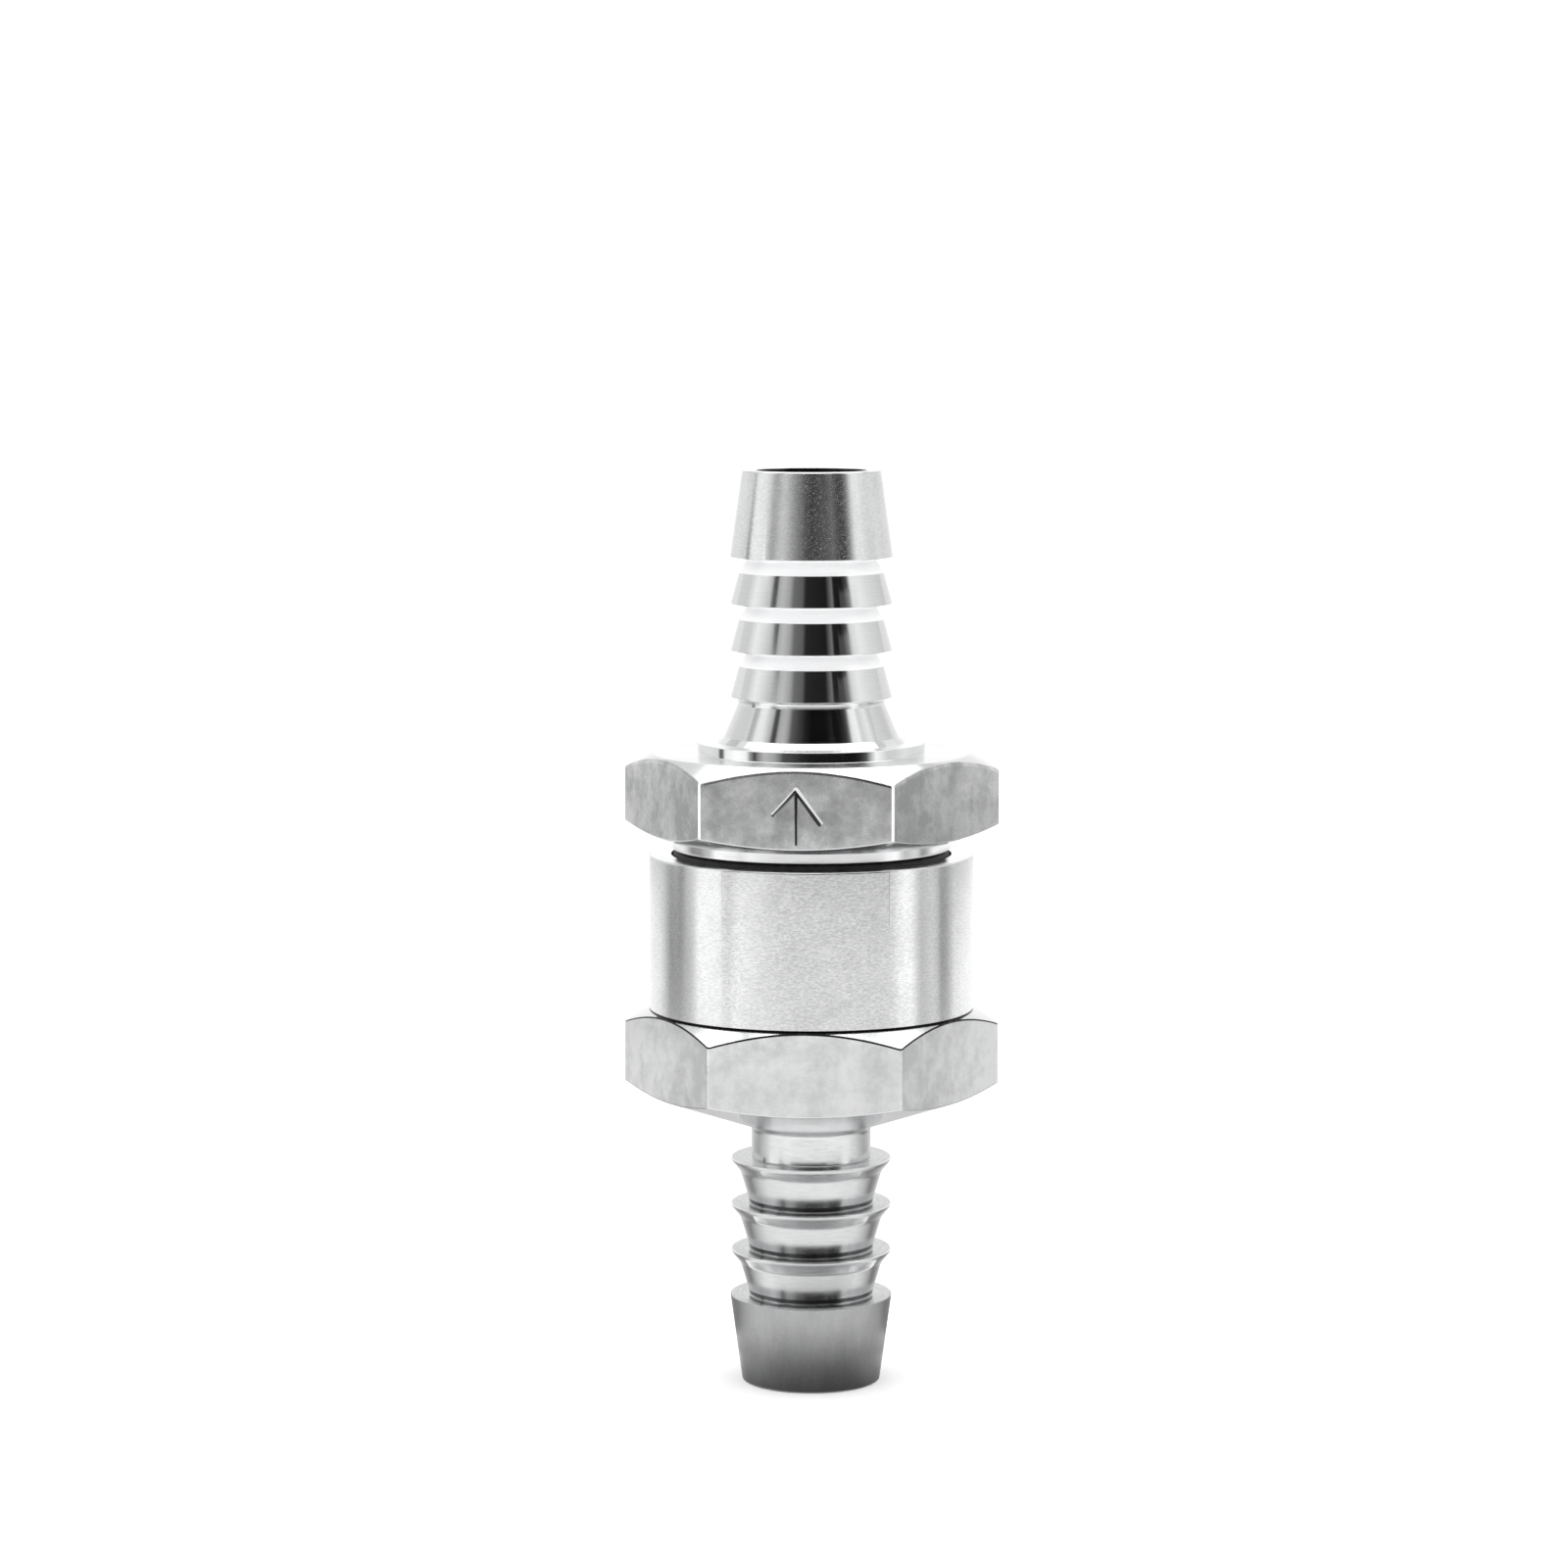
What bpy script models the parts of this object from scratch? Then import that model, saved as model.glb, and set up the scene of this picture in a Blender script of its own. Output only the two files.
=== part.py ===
"""Inline one-way valve for a 12 mm hose, machined from 24 mm hexagon bar.

Gas or liquid enters the lower hose barb, lifts a sprung poppet off its conical seat, passes
through a drilled stem guide and leaves by the upper barb.  The outlet cap screws into the inlet
body and squeezes a seal ring between the two.

Every length below is in millimetres.  Z = 0 is the inlet end face and +Z is the flow direction.
"""

import math

import bmesh
import bpy

MM = 0.001
MERGE_DISTANCE = 1e-6             # metres
CUTTER_OVERRUN = 5.0              # how far a cutter reaches past the piece that it cuts

# Hexagon bar stock that both shells are turned from
HEX_ACROSS_FLATS = 24.0
HEX_CORNER_RADIUS = HEX_ACROSS_FLATS / 2 / math.cos(math.pi / 6)
BAR_OVERHANG = 0.4                # the turned blank reaches this far past the hexagon's corners
BAR_RADIUS = HEX_CORNER_RADIUS + BAR_OVERHANG
CAP_TIGHTENED_ANGLE = math.radians(-2.95)
CHAMFER_SLOPE = math.tan(math.radians(30))

# Bore and hose barbs
BORE_RADIUS = 3.5
MOUTH_RADIUS = 4.05
MOUTH_DEPTH = 1.2
TIP_RADIUS = 5.1
BARB_RADIUS = 6.0
BARB_COUNT = 4
INLET_BARB_PITCH = 3.43
INLET_TIP_LENGTH = 6.38
INLET_ROOT_RADIUS = 4.5
INLET_LIP = ((0.25, 0.35), (0.75, 0.95))      # (inward, down) from each ring's edge
OUTLET_BARB_PITCH = 3.42
OUTLET_TIP_LENGTH = 6.31
OUTLET_ROOT_RADIUS = 4.7
OUTLET_BARB_TOP_RADIUS = 5.33
OUTLET_GROOVE_HEIGHT = 1.15
OUTLET_UNDERCUT = 0.15            # how far the groove's root lies below the barb's edge
TOTAL_LENGTH = 67.4

# Inlet body
NECK_RADIUS = 4.4
NECK_FILLET = 0.6
NECK_TOP_Z = 19.25
BODY_CORNER_LOW_Z = 22.3
BODY_CORNER_HIGH_Z = 26.65
BODY_RADIUS = 11.95
BODY_TOP_Z = 39.3
BODY_CHAMFER = 0.25
SEAT_LOW_Z = 20.8
SEAT_TOP_RADIUS = 6.2
CHAMBER_RADIUS = 7.0
GUIDE_SHELF_Z = 31.0
GUIDE_POCKET_RADIUS = 7.8
CLIP_GROOVE_RADIUS = 8.4
CLIP_GROOVE_Z = (32.5, 33.7)
THREAD_BORE_RADIUS = 9.0
THREAD_LOW_Z = 34.2
SEAL_POCKET_RADIUS = 10.3
SEAL_POCKET_Z = 38.4

# Outlet cap
SPIGOT_RADIUS = 8.7
SPIGOT_LOW_Z = 34.6
SPIGOT_CHAMFER = 0.3
SPIGOT_MOUTH_RADIUS = 6.6
RELIEF_RADIUS = 8.4
COLLAR_RADIUS = 10.2
COLLAR_LOW_Z = 39.9
CAP_UNDERSIDE_Z = 40.5
CAP_UNDERSIDE_RADIUS = 10.87
CAP_CORNER_LOW_Z = 41.6
CAP_CORNER_HIGH_Z = 45.55
CAP_FACE_Z = 46.75
CAP_FACE_RADIUS = 11.65
STEP_RADIUS = 8.35
STEP_TOP_Z = 47.5
OUTLET_CONE_RADIUS = 6.4
OUTLET_CONE_LOW_Z = 47.95
OUTLET_CONE_TOP_RADIUS = 5.4
OUTLET_CONE_TOP_DROP = 0.5        # below the last barb's edge
OUTLET_CONE_FOOT = 0.5            # width of the slope from the cone to the step

# Flow arrow cut into one flat of the cap
ARROW_TIP_Z = 45.2
ARROW_LENGTH = 4.0
ARROW_ARM_LENGTH = 2.8
ARROW_ARM_ANGLE = math.radians(40)
ARROW_WIDTH = 0.38
ARROW_DEPTH = 0.3

# Seal ring between body and cap
SEAL_RING_RADIUS = 9.35
SEAL_SECTION_RADIUS = 0.44
SEAL_RING_Z = 39.16

# Poppet and the soft seal that is screwed under it
SEAL_GAP_ON_SEAT = 0.42
POPPET_RADIUS = 5.6
SEAL_Z = (22.2, 23.6)
SEAL_HOLE_RADIUS = 2.2
POPPET_BOSS_RADIUS = 1.9
POPPET_HEAD_Z = (23.9, 25.1)
POPPET_CHAMFER = 0.3
STEM_RADIUS = 1.5
STEM_TOP_Z = 35.5
SCREW_RADIUS = 0.9
SCREW_HOLE_RADIUS = 1.2
SCREW_HEAD_RADIUS = 1.7
SCREW_HEAD_Z = (20.1, 21.0)
SCREW_TOP_Z = 25.2
SCREW_HOLE_TOP_Z = 25.6
SCREW_TIP_CHAMFER = 0.2
SCREW_HEAD_CHAMFER = 0.35
SCREW_SLOT = (0.4, 0.4)           # width and depth
WASHER_RADIUS = 3.0
WASHER_Z = (21.3, 21.9)
WASHER_CHAMFER = 0.15

# Stem guide and the clip that holds it
GUIDE_RADIUS = 7.5
GUIDE_Z = (31.3, 32.5)
GUIDE_HUB_RADIUS = 2.7
GUIDE_HUB_TOP_Z = 34.0
GUIDE_HUB_CHAMFER = 0.2
GUIDE_BORE_RADIUS = 1.75
GUIDE_PORT_COUNT = 6
GUIDE_PORT_RADIUS = 1.35
GUIDE_PORT_CIRCLE_RADIUS = 4.95
CLIP_OUTER_RADIUS = 8.1
CLIP_INNER_RADIUS = 6.9
CLIP_Z = (32.8, 33.4)
CLIP_GAP_ANGLE = math.radians(50)

# Return spring
SPRING_RADIUS = 2.8
SPRING_WIRE_RADIUS = 0.25
SPRING_TURNS = 5
SPRING_POINTS_PER_TURN = 18
SPRING_CLOSED_TURNS = 0.9
SPRING_END_SPACING = 1.1          # pitch of the closed turns, in wire diameters
SPRING_Z = (25.4, 31.0)

SHELL_STEPS = 48
SMALL_STEPS = 32


def clear_scene():
    for item in list(bpy.data.objects):
        bpy.data.objects.remove(item)


def new_collection(name):
    collection = bpy.data.collections.new(name)
    bpy.context.scene.collection.children.link(collection)
    return collection


def make_material(name, color, metallic, roughness):
    material = bpy.data.materials.new(name)
    material.use_nodes = True
    shader = material.node_tree.nodes["Principled BSDF"]
    shader.inputs["Base Color"].default_value = (*color, 1.0)
    shader.inputs["Metallic"].default_value = metallic
    shader.inputs["Roughness"].default_value = roughness
    material.diffuse_color = (*color, 1.0)
    return material


def turned(name, outline, steps, collection, closed=True):
    """Turn an outline of (radius, height) points around Z.

    The outline runs down the outer side.  A closed outline goes back up its bore; an open one
    starts and ends on the axis.
    """
    mesh = bpy.data.meshes.new(name)
    edges = [(i, i + 1) for i in range(len(outline) - 1)]
    if closed:
        edges.append((len(outline) - 1, 0))
    mesh.from_pydata([(r * MM, 0.0, z * MM) for r, z in outline], edges, [])
    piece = bpy.data.objects.new(name, mesh)
    collection.objects.link(piece)
    screw = piece.modifiers.new("turn", "SCREW")
    screw.axis = "Z"
    screw.angle = 2 * math.pi
    screw.steps = steps
    screw.render_steps = steps
    screw.use_merge_vertices = True
    screw.merge_threshold = MERGE_DISTANCE
    screw.use_smooth_shade = True
    return piece


def prism(name, sides, radius, low_z, high_z, collection):
    """A closed upright prism; with six sides its flats face +Y and -Y."""
    mesh = bpy.data.meshes.new(name)
    shape = bmesh.new()
    bmesh.ops.create_cone(
        shape, cap_ends=True, segments=sides, depth=(high_z - low_z) * MM,
        radius1=radius * MM, radius2=radius * MM)
    shape.to_mesh(mesh)
    shape.free()
    piece = bpy.data.objects.new(name, mesh)
    piece.location.z = (low_z + high_z) / 2 * MM
    piece.rotation_euler.z = math.pi / sides
    collection.objects.link(piece)
    return piece


def box(name, size, collection):
    mesh = bpy.data.meshes.new(name)
    shape = bmesh.new()
    bmesh.ops.create_cube(shape, size=1.0)
    bmesh.ops.scale(shape, vec=[length * MM for length in size], verts=shape.verts)
    shape.to_mesh(mesh)
    shape.free()
    piece = bpy.data.objects.new(name, mesh)
    collection.objects.link(piece)
    return piece


def boolean(piece, tool, operation):
    tool.hide_render = True
    tool.display_type = "WIRE"
    modifier = piece.modifiers.new(tool.name, "BOOLEAN")
    modifier.operation = operation
    modifier.object = tool
    modifier.solver = "EXACT"


def arc(centre, radius, start, end, count):
    """Points on an arc in the outline plane; angles in degrees from +radius towards +Z."""
    angles = [math.radians(start + (end - start) * i / count) for i in range(count + 1)]
    return [(centre[0] + radius * math.cos(a), centre[1] + radius * math.sin(a)) for a in angles]


def inlet_barb_outline():
    """Saw-tooth rings, each a thin flared lip above a hollow taper, then the long tip."""
    points = []
    for ring in range(BARB_COUNT - 1, 0, -1):
        edge_z = INLET_TIP_LENGTH + ring * INLET_BARB_PITCH
        points.append((BARB_RADIUS, edge_z))
        points += [(BARB_RADIUS - inward, edge_z - down) for inward, down in INLET_LIP]
        points.append((INLET_ROOT_RADIUS, edge_z - INLET_BARB_PITCH))
    return points + [(BARB_RADIUS, INLET_TIP_LENGTH), (TIP_RADIUS, 0.0)]


def mouth_outline(end_z, inward):
    """Bore, cone and counterbore at an end face, from the bore outwards; inward is +1 or -1."""
    cone_depth = MOUTH_DEPTH + MOUTH_RADIUS - BORE_RADIUS
    return [
        (BORE_RADIUS, end_z + inward * cone_depth),
        (MOUTH_RADIUS, end_z + inward * MOUTH_DEPTH),
        (MOUTH_RADIUS, end_z),
    ]


def outlet_barb_outline():
    """The long tip, then cut-off cones with a V groove above each."""
    edge_z = TOTAL_LENGTH - OUTLET_TIP_LENGTH
    points = [(TIP_RADIUS, TOTAL_LENGTH), (BARB_RADIUS, edge_z)]
    for _ in range(BARB_COUNT - 1):
        points += [
            (OUTLET_ROOT_RADIUS, edge_z - OUTLET_UNDERCUT),
            (OUTLET_BARB_TOP_RADIUS, edge_z - OUTLET_GROOVE_HEIGHT),
        ]
        edge_z -= OUTLET_BARB_PITCH
        points.append((BARB_RADIUS, edge_z))
    return points + [
        (OUTLET_CONE_TOP_RADIUS, edge_z - OUTLET_UNDERCUT),
        (OUTLET_CONE_TOP_RADIUS, edge_z - OUTLET_CONE_TOP_DROP),
        (OUTLET_CONE_RADIUS, OUTLET_CONE_LOW_Z),
        (OUTLET_CONE_RADIUS + OUTLET_CONE_FOOT, STEP_TOP_Z),
    ]


def make_inlet_body(parts, cutters):
    """Inlet barb, lower hexagon and the chamber that holds the working pieces."""
    chamfer_top_z = BODY_CORNER_HIGH_Z + (HEX_CORNER_RADIUS - BODY_RADIUS) * CHAMFER_SLOPE
    underside_slope = (BODY_CORNER_LOW_Z - NECK_TOP_Z) / (
        HEX_CORNER_RADIUS - NECK_RADIUS - NECK_FILLET)
    outer = [
        (BODY_RADIUS - BODY_CHAMFER, BODY_TOP_Z),
        (BODY_RADIUS, BODY_TOP_Z - BODY_CHAMFER),
        (BODY_RADIUS, chamfer_top_z),
        (BAR_RADIUS, BODY_CORNER_HIGH_Z - BAR_OVERHANG * CHAMFER_SLOPE),
        (BAR_RADIUS, BODY_CORNER_LOW_Z + BAR_OVERHANG * underside_slope),
    ]
    fillet_centre = (NECK_RADIUS + NECK_FILLET, NECK_TOP_Z - NECK_FILLET)
    outer += arc(fillet_centre, NECK_FILLET, 90, 180, 5)
    outer.append((NECK_RADIUS, INLET_TIP_LENGTH + (BARB_COUNT - 1) * INLET_BARB_PITCH))
    outer += inlet_barb_outline()
    chamber_floor_z = SEAT_LOW_Z + SEAT_TOP_RADIUS - BORE_RADIUS
    inner = mouth_outline(0.0, 1)[::-1] + [
        (BORE_RADIUS, SEAT_LOW_Z),
        (SEAT_TOP_RADIUS, chamber_floor_z),
        (CHAMBER_RADIUS, chamber_floor_z),
        (CHAMBER_RADIUS, GUIDE_SHELF_Z),
        (GUIDE_POCKET_RADIUS, GUIDE_SHELF_Z),
        (GUIDE_POCKET_RADIUS, CLIP_GROOVE_Z[0]),
        (CLIP_GROOVE_RADIUS, CLIP_GROOVE_Z[0]),
        (CLIP_GROOVE_RADIUS, CLIP_GROOVE_Z[1]),
        (GUIDE_POCKET_RADIUS, CLIP_GROOVE_Z[1]),
        (GUIDE_POCKET_RADIUS, THREAD_LOW_Z),
        (THREAD_BORE_RADIUS, THREAD_LOW_Z),
        (THREAD_BORE_RADIUS, SEAL_POCKET_Z),
        (SEAL_POCKET_RADIUS, SEAL_POCKET_Z),
        (SEAL_POCKET_RADIUS, BODY_TOP_Z),
    ]
    body = turned("inlet_body", outer + inner, SHELL_STEPS, parts)
    hexagon = prism(
        "body_hexagon", 6, HEX_CORNER_RADIUS, -CUTTER_OVERRUN, BODY_TOP_Z + CUTTER_OVERRUN, cutters)
    boolean(body, hexagon, "INTERSECT")
    return body


def make_arrow_cutters(cutters):
    """Shaft and two arms of the flow arrow, as blades that reach into the -Y flat."""
    half_arm = ARROW_ARM_LENGTH / 2
    strokes = [("shaft", ARROW_LENGTH, 0.0, 0.0, ARROW_LENGTH / 2)]
    for side, name in ((-1, "left_arm"), (1, "right_arm")):
        strokes.append((
            name, ARROW_ARM_LENGTH, side * ARROW_ARM_ANGLE,
            side * half_arm * math.sin(ARROW_ARM_ANGLE), half_arm * math.cos(ARROW_ARM_ANGLE)))
    blades = []
    for name, length, lean, across, drop in strokes:
        blade = box("arrow_" + name, (ARROW_WIDTH, 2 * ARROW_DEPTH, length), cutters)
        blade.location = (
            across * MM, -HEX_ACROSS_FLATS / 2 * MM, (ARROW_TIP_Z - drop) * MM)
        blade.rotation_euler.y = -lean
        blades.append(blade)
    return blades


def make_outlet_cap(parts, cutters):
    """Outlet barb, upper hexagon, collar and the spigot that screws into the body."""
    top_slope = (CAP_FACE_Z - CAP_CORNER_HIGH_Z) / (HEX_CORNER_RADIUS - CAP_FACE_RADIUS)
    low_slope = (CAP_CORNER_LOW_Z - CAP_UNDERSIDE_Z) / (HEX_CORNER_RADIUS - CAP_UNDERSIDE_RADIUS)
    outer = outlet_barb_outline() + [
        (STEP_RADIUS, STEP_TOP_Z),
        (STEP_RADIUS, CAP_FACE_Z),
        (CAP_FACE_RADIUS, CAP_FACE_Z),
        (BAR_RADIUS, CAP_CORNER_HIGH_Z - BAR_OVERHANG * top_slope),
        (BAR_RADIUS, CAP_CORNER_LOW_Z + BAR_OVERHANG * low_slope),
        (CAP_UNDERSIDE_RADIUS, CAP_UNDERSIDE_Z),
        (COLLAR_RADIUS, CAP_UNDERSIDE_Z),
        (COLLAR_RADIUS, COLLAR_LOW_Z),
        (RELIEF_RADIUS, COLLAR_LOW_Z),
        (RELIEF_RADIUS, SEAL_POCKET_Z),
        (SPIGOT_RADIUS, SEAL_POCKET_Z - SPIGOT_CHAMFER),
        (SPIGOT_RADIUS, SPIGOT_LOW_Z + SPIGOT_CHAMFER),
        (SPIGOT_RADIUS - SPIGOT_CHAMFER, SPIGOT_LOW_Z),
    ]
    inner = [
        (SPIGOT_MOUTH_RADIUS, SPIGOT_LOW_Z),
        (BORE_RADIUS, SPIGOT_LOW_Z + SPIGOT_MOUTH_RADIUS - BORE_RADIUS),
    ] + mouth_outline(TOTAL_LENGTH, -1)
    cap = turned("outlet_cap", outer + inner, SHELL_STEPS, parts)
    hexagon = prism(
        "cap_hexagon", 6, HEX_CORNER_RADIUS,
        SPIGOT_LOW_Z - CUTTER_OVERRUN, TOTAL_LENGTH + CUTTER_OVERRUN, cutters)
    boolean(cap, hexagon, "INTERSECT")
    for blade in make_arrow_cutters(cutters):
        blade.parent = cap
        boolean(cap, blade, "DIFFERENCE")
    hexagon.parent = cap
    cap.rotation_euler.z = CAP_TIGHTENED_ANGLE
    return cap


def make_cap_seal_ring(parts):
    section = arc((SEAL_RING_RADIUS, SEAL_RING_Z), SEAL_SECTION_RADIUS, 90, -270, 10)[:-1]
    return turned("cap_seal_ring", section, SHELL_STEPS, parts)


def make_poppet(parts):
    """Flat head on a long stem, with a short boss below that centres the soft seal."""
    outline = [
        (0.0, STEM_TOP_Z),
        (STEM_RADIUS - POPPET_CHAMFER, STEM_TOP_Z),
        (STEM_RADIUS, STEM_TOP_Z - POPPET_CHAMFER),
        (STEM_RADIUS, POPPET_HEAD_Z[1]),
        (POPPET_RADIUS - POPPET_CHAMFER, POPPET_HEAD_Z[1]),
        (POPPET_RADIUS, POPPET_HEAD_Z[1] - POPPET_CHAMFER),
        (POPPET_RADIUS, POPPET_HEAD_Z[0]),
        (POPPET_BOSS_RADIUS, POPPET_HEAD_Z[0]),
        (POPPET_BOSS_RADIUS, SEAL_Z[0]),
        (SCREW_HOLE_RADIUS, SEAL_Z[0]),
        (SCREW_HOLE_RADIUS, SCREW_HOLE_TOP_Z),
        (0.0, SCREW_HOLE_TOP_Z),
    ]
    return turned("poppet", outline, SMALL_STEPS, parts, closed=False)


def make_poppet_seal(parts):
    """Rubber ring whose outer face has the slope of the seat."""
    low_radius = BORE_RADIUS + SEAL_Z[0] - SEAT_LOW_Z - SEAL_GAP_ON_SEAT
    edge_z = SEAL_Z[0] + POPPET_RADIUS - low_radius
    outline = [
        (SEAL_HOLE_RADIUS, SEAL_Z[1]),
        (POPPET_RADIUS, SEAL_Z[1]),
        (POPPET_RADIUS, edge_z),
        (low_radius, SEAL_Z[0]),
        (SEAL_HOLE_RADIUS, SEAL_Z[0]),
    ]
    return turned("poppet_seal", outline, SMALL_STEPS, parts)


def make_seal_washer(parts):
    outline = [
        (WASHER_RADIUS - WASHER_CHAMFER, WASHER_Z[1]),
        (WASHER_RADIUS, WASHER_Z[1] - WASHER_CHAMFER),
        (WASHER_RADIUS, WASHER_Z[0]),
        (SCREW_HOLE_RADIUS, WASHER_Z[0]),
        (SCREW_HOLE_RADIUS, WASHER_Z[1]),
    ]
    return turned("seal_washer", outline, SMALL_STEPS, parts)


def make_seal_screw(parts, cutters):
    """Pan-head screw, driven from the inlet side, with a straight slot."""
    low_z, high_z = SCREW_HEAD_Z
    outline = [
        (0.0, SCREW_TOP_Z),
        (SCREW_RADIUS - SCREW_TIP_CHAMFER, SCREW_TOP_Z),
        (SCREW_RADIUS, SCREW_TOP_Z - SCREW_TIP_CHAMFER),
        (SCREW_RADIUS, high_z),
        (SCREW_HEAD_RADIUS, high_z),
        (SCREW_HEAD_RADIUS, low_z + SCREW_HEAD_CHAMFER),
        (SCREW_HEAD_RADIUS - SCREW_HEAD_CHAMFER, low_z),
        (0.0, low_z),
    ]
    screw = turned("seal_screw", outline, SMALL_STEPS, parts, closed=False)
    slot_width, slot_depth = SCREW_SLOT
    slot = box("screw_slot", (slot_width, 4 * SCREW_HEAD_RADIUS, 2 * slot_depth), cutters)
    slot.location.z = low_z * MM
    boolean(screw, slot, "DIFFERENCE")
    return screw


def make_stem_guide(parts, cutters):
    """Drilled disc with a raised hub: the stem slides in the hub, the flow takes the holes."""
    outline = [
        (GUIDE_HUB_RADIUS - GUIDE_HUB_CHAMFER, GUIDE_HUB_TOP_Z),
        (GUIDE_HUB_RADIUS, GUIDE_HUB_TOP_Z - GUIDE_HUB_CHAMFER),
        (GUIDE_HUB_RADIUS, GUIDE_Z[1]),
        (GUIDE_RADIUS, GUIDE_Z[1]),
        (GUIDE_RADIUS, GUIDE_Z[0]),
        (GUIDE_BORE_RADIUS, GUIDE_Z[0]),
        (GUIDE_BORE_RADIUS, GUIDE_HUB_TOP_Z),
    ]
    guide = turned("stem_guide", outline, SMALL_STEPS, parts)
    for index in range(GUIDE_PORT_COUNT):
        angle = 2 * math.pi * index / GUIDE_PORT_COUNT
        drill = prism(
            "guide_drill_%d" % (index + 1), 12, GUIDE_PORT_RADIUS,
            GUIDE_Z[0] - CUTTER_OVERRUN, GUIDE_Z[1] + CUTTER_OVERRUN, cutters)
        drill.location.x = GUIDE_PORT_CIRCLE_RADIUS * math.cos(angle) * MM
        drill.location.y = GUIDE_PORT_CIRCLE_RADIUS * math.sin(angle) * MM
        boolean(guide, drill, "DIFFERENCE")
    return guide


def make_guide_clip(parts, cutters):
    """Flat spring ring with a gap, so that it can be squeezed into its groove."""
    outline = [
        (CLIP_OUTER_RADIUS, CLIP_Z[1]),
        (CLIP_OUTER_RADIUS, CLIP_Z[0]),
        (CLIP_INNER_RADIUS, CLIP_Z[0]),
        (CLIP_INNER_RADIUS, CLIP_Z[1]),
    ]
    clip = turned("guide_clip", outline, SMALL_STEPS, parts)
    gap_width = 2 * CLIP_OUTER_RADIUS * math.sin(CLIP_GAP_ANGLE / 2)
    gap = box("clip_gap", (gap_width, CLIP_OUTER_RADIUS, CUTTER_OVERRUN), cutters)
    gap.location = (0.0, CLIP_OUTER_RADIUS * MM, sum(CLIP_Z) / 2 * MM)
    boolean(clip, gap, "DIFFERENCE")
    return clip


def spring_height(turn):
    """Height of the wire's centre after so many turns: flat at both ends, even between."""
    low_z = SPRING_Z[0] + SPRING_WIRE_RADIUS
    high_z = SPRING_Z[1] - SPRING_WIRE_RADIUS
    end_rise = 2 * SPRING_WIRE_RADIUS * SPRING_CLOSED_TURNS * SPRING_END_SPACING
    open_turns = SPRING_TURNS - 2 * SPRING_CLOSED_TURNS
    if turn < SPRING_CLOSED_TURNS:
        return low_z + end_rise * turn / SPRING_CLOSED_TURNS
    if turn > SPRING_TURNS - SPRING_CLOSED_TURNS:
        return high_z - end_rise * (SPRING_TURNS - turn) / SPRING_CLOSED_TURNS
    share = (turn - SPRING_CLOSED_TURNS) / open_turns
    return low_z + end_rise + (high_z - low_z - 2 * end_rise) * share


def make_return_spring(parts):
    curve = bpy.data.curves.new("return_spring", "CURVE")
    curve.dimensions = "3D"
    curve.bevel_depth = SPRING_WIRE_RADIUS * MM
    curve.bevel_resolution = 2
    curve.use_fill_caps = True
    wire = curve.splines.new("POLY")
    count = SPRING_TURNS * SPRING_POINTS_PER_TURN
    wire.points.add(count)
    for index, point in enumerate(wire.points):
        turn = index / SPRING_POINTS_PER_TURN
        angle = 2 * math.pi * turn
        point.co = (
            SPRING_RADIUS * math.cos(angle) * MM, SPRING_RADIUS * math.sin(angle) * MM,
            spring_height(turn) * MM, 1.0)
    spring = bpy.data.objects.new("return_spring", curve)
    parts.objects.link(spring)
    return spring


def build():
    clear_scene()
    parts = new_collection("one_way_valve")
    cutters = new_collection("cutters")

    bright_aluminium = ((0.91, 0.92, 0.93), 1.0, 0.22)
    black_rubber = ((0.02, 0.02, 0.02), 0.0, 0.55)
    brass = ((0.80, 0.62, 0.30), 1.0, 0.30)
    stainless = ((0.72, 0.72, 0.70), 1.0, 0.25)

    pieces = [
        (make_inlet_body(parts, cutters), bright_aluminium),
        (make_outlet_cap(parts, cutters), bright_aluminium),
        (make_cap_seal_ring(parts), black_rubber),
        (make_poppet(parts), brass),
        (make_poppet_seal(parts), black_rubber),
        (make_seal_washer(parts), stainless),
        (make_seal_screw(parts, cutters), stainless),
        (make_stem_guide(parts, cutters), brass),
        (make_guide_clip(parts, cutters), stainless),
        (make_return_spring(parts), stainless),
    ]
    for piece, (color, metallic, roughness) in pieces:
        piece.data.materials.append(make_material(piece.name, color, metallic, roughness))


build()
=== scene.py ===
"""Looks of the inline one-way valve: turned shells, threads, working pieces and studio.

Lengths are in millimetres unless a name says otherwise; Z = 0 is the inlet end face.
"""

import math

import bmesh
import bpy
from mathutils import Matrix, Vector


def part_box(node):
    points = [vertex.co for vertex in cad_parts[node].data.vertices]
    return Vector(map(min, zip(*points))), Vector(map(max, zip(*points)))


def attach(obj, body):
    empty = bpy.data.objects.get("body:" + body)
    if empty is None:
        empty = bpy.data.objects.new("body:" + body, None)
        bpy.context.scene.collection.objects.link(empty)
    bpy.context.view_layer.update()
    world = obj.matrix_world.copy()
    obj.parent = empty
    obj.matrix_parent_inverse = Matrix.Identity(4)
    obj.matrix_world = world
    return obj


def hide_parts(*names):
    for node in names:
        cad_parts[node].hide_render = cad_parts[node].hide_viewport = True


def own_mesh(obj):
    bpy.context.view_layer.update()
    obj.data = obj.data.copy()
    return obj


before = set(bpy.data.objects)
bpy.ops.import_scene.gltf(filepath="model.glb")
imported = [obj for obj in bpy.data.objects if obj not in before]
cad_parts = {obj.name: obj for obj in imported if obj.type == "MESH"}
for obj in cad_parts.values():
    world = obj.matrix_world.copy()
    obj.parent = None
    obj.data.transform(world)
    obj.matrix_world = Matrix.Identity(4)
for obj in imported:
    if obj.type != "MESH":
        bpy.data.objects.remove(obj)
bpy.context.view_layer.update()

MM = 0.001
CAMERA_AZIMUTH = 2.29             # degrees towards +X from the front

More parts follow.
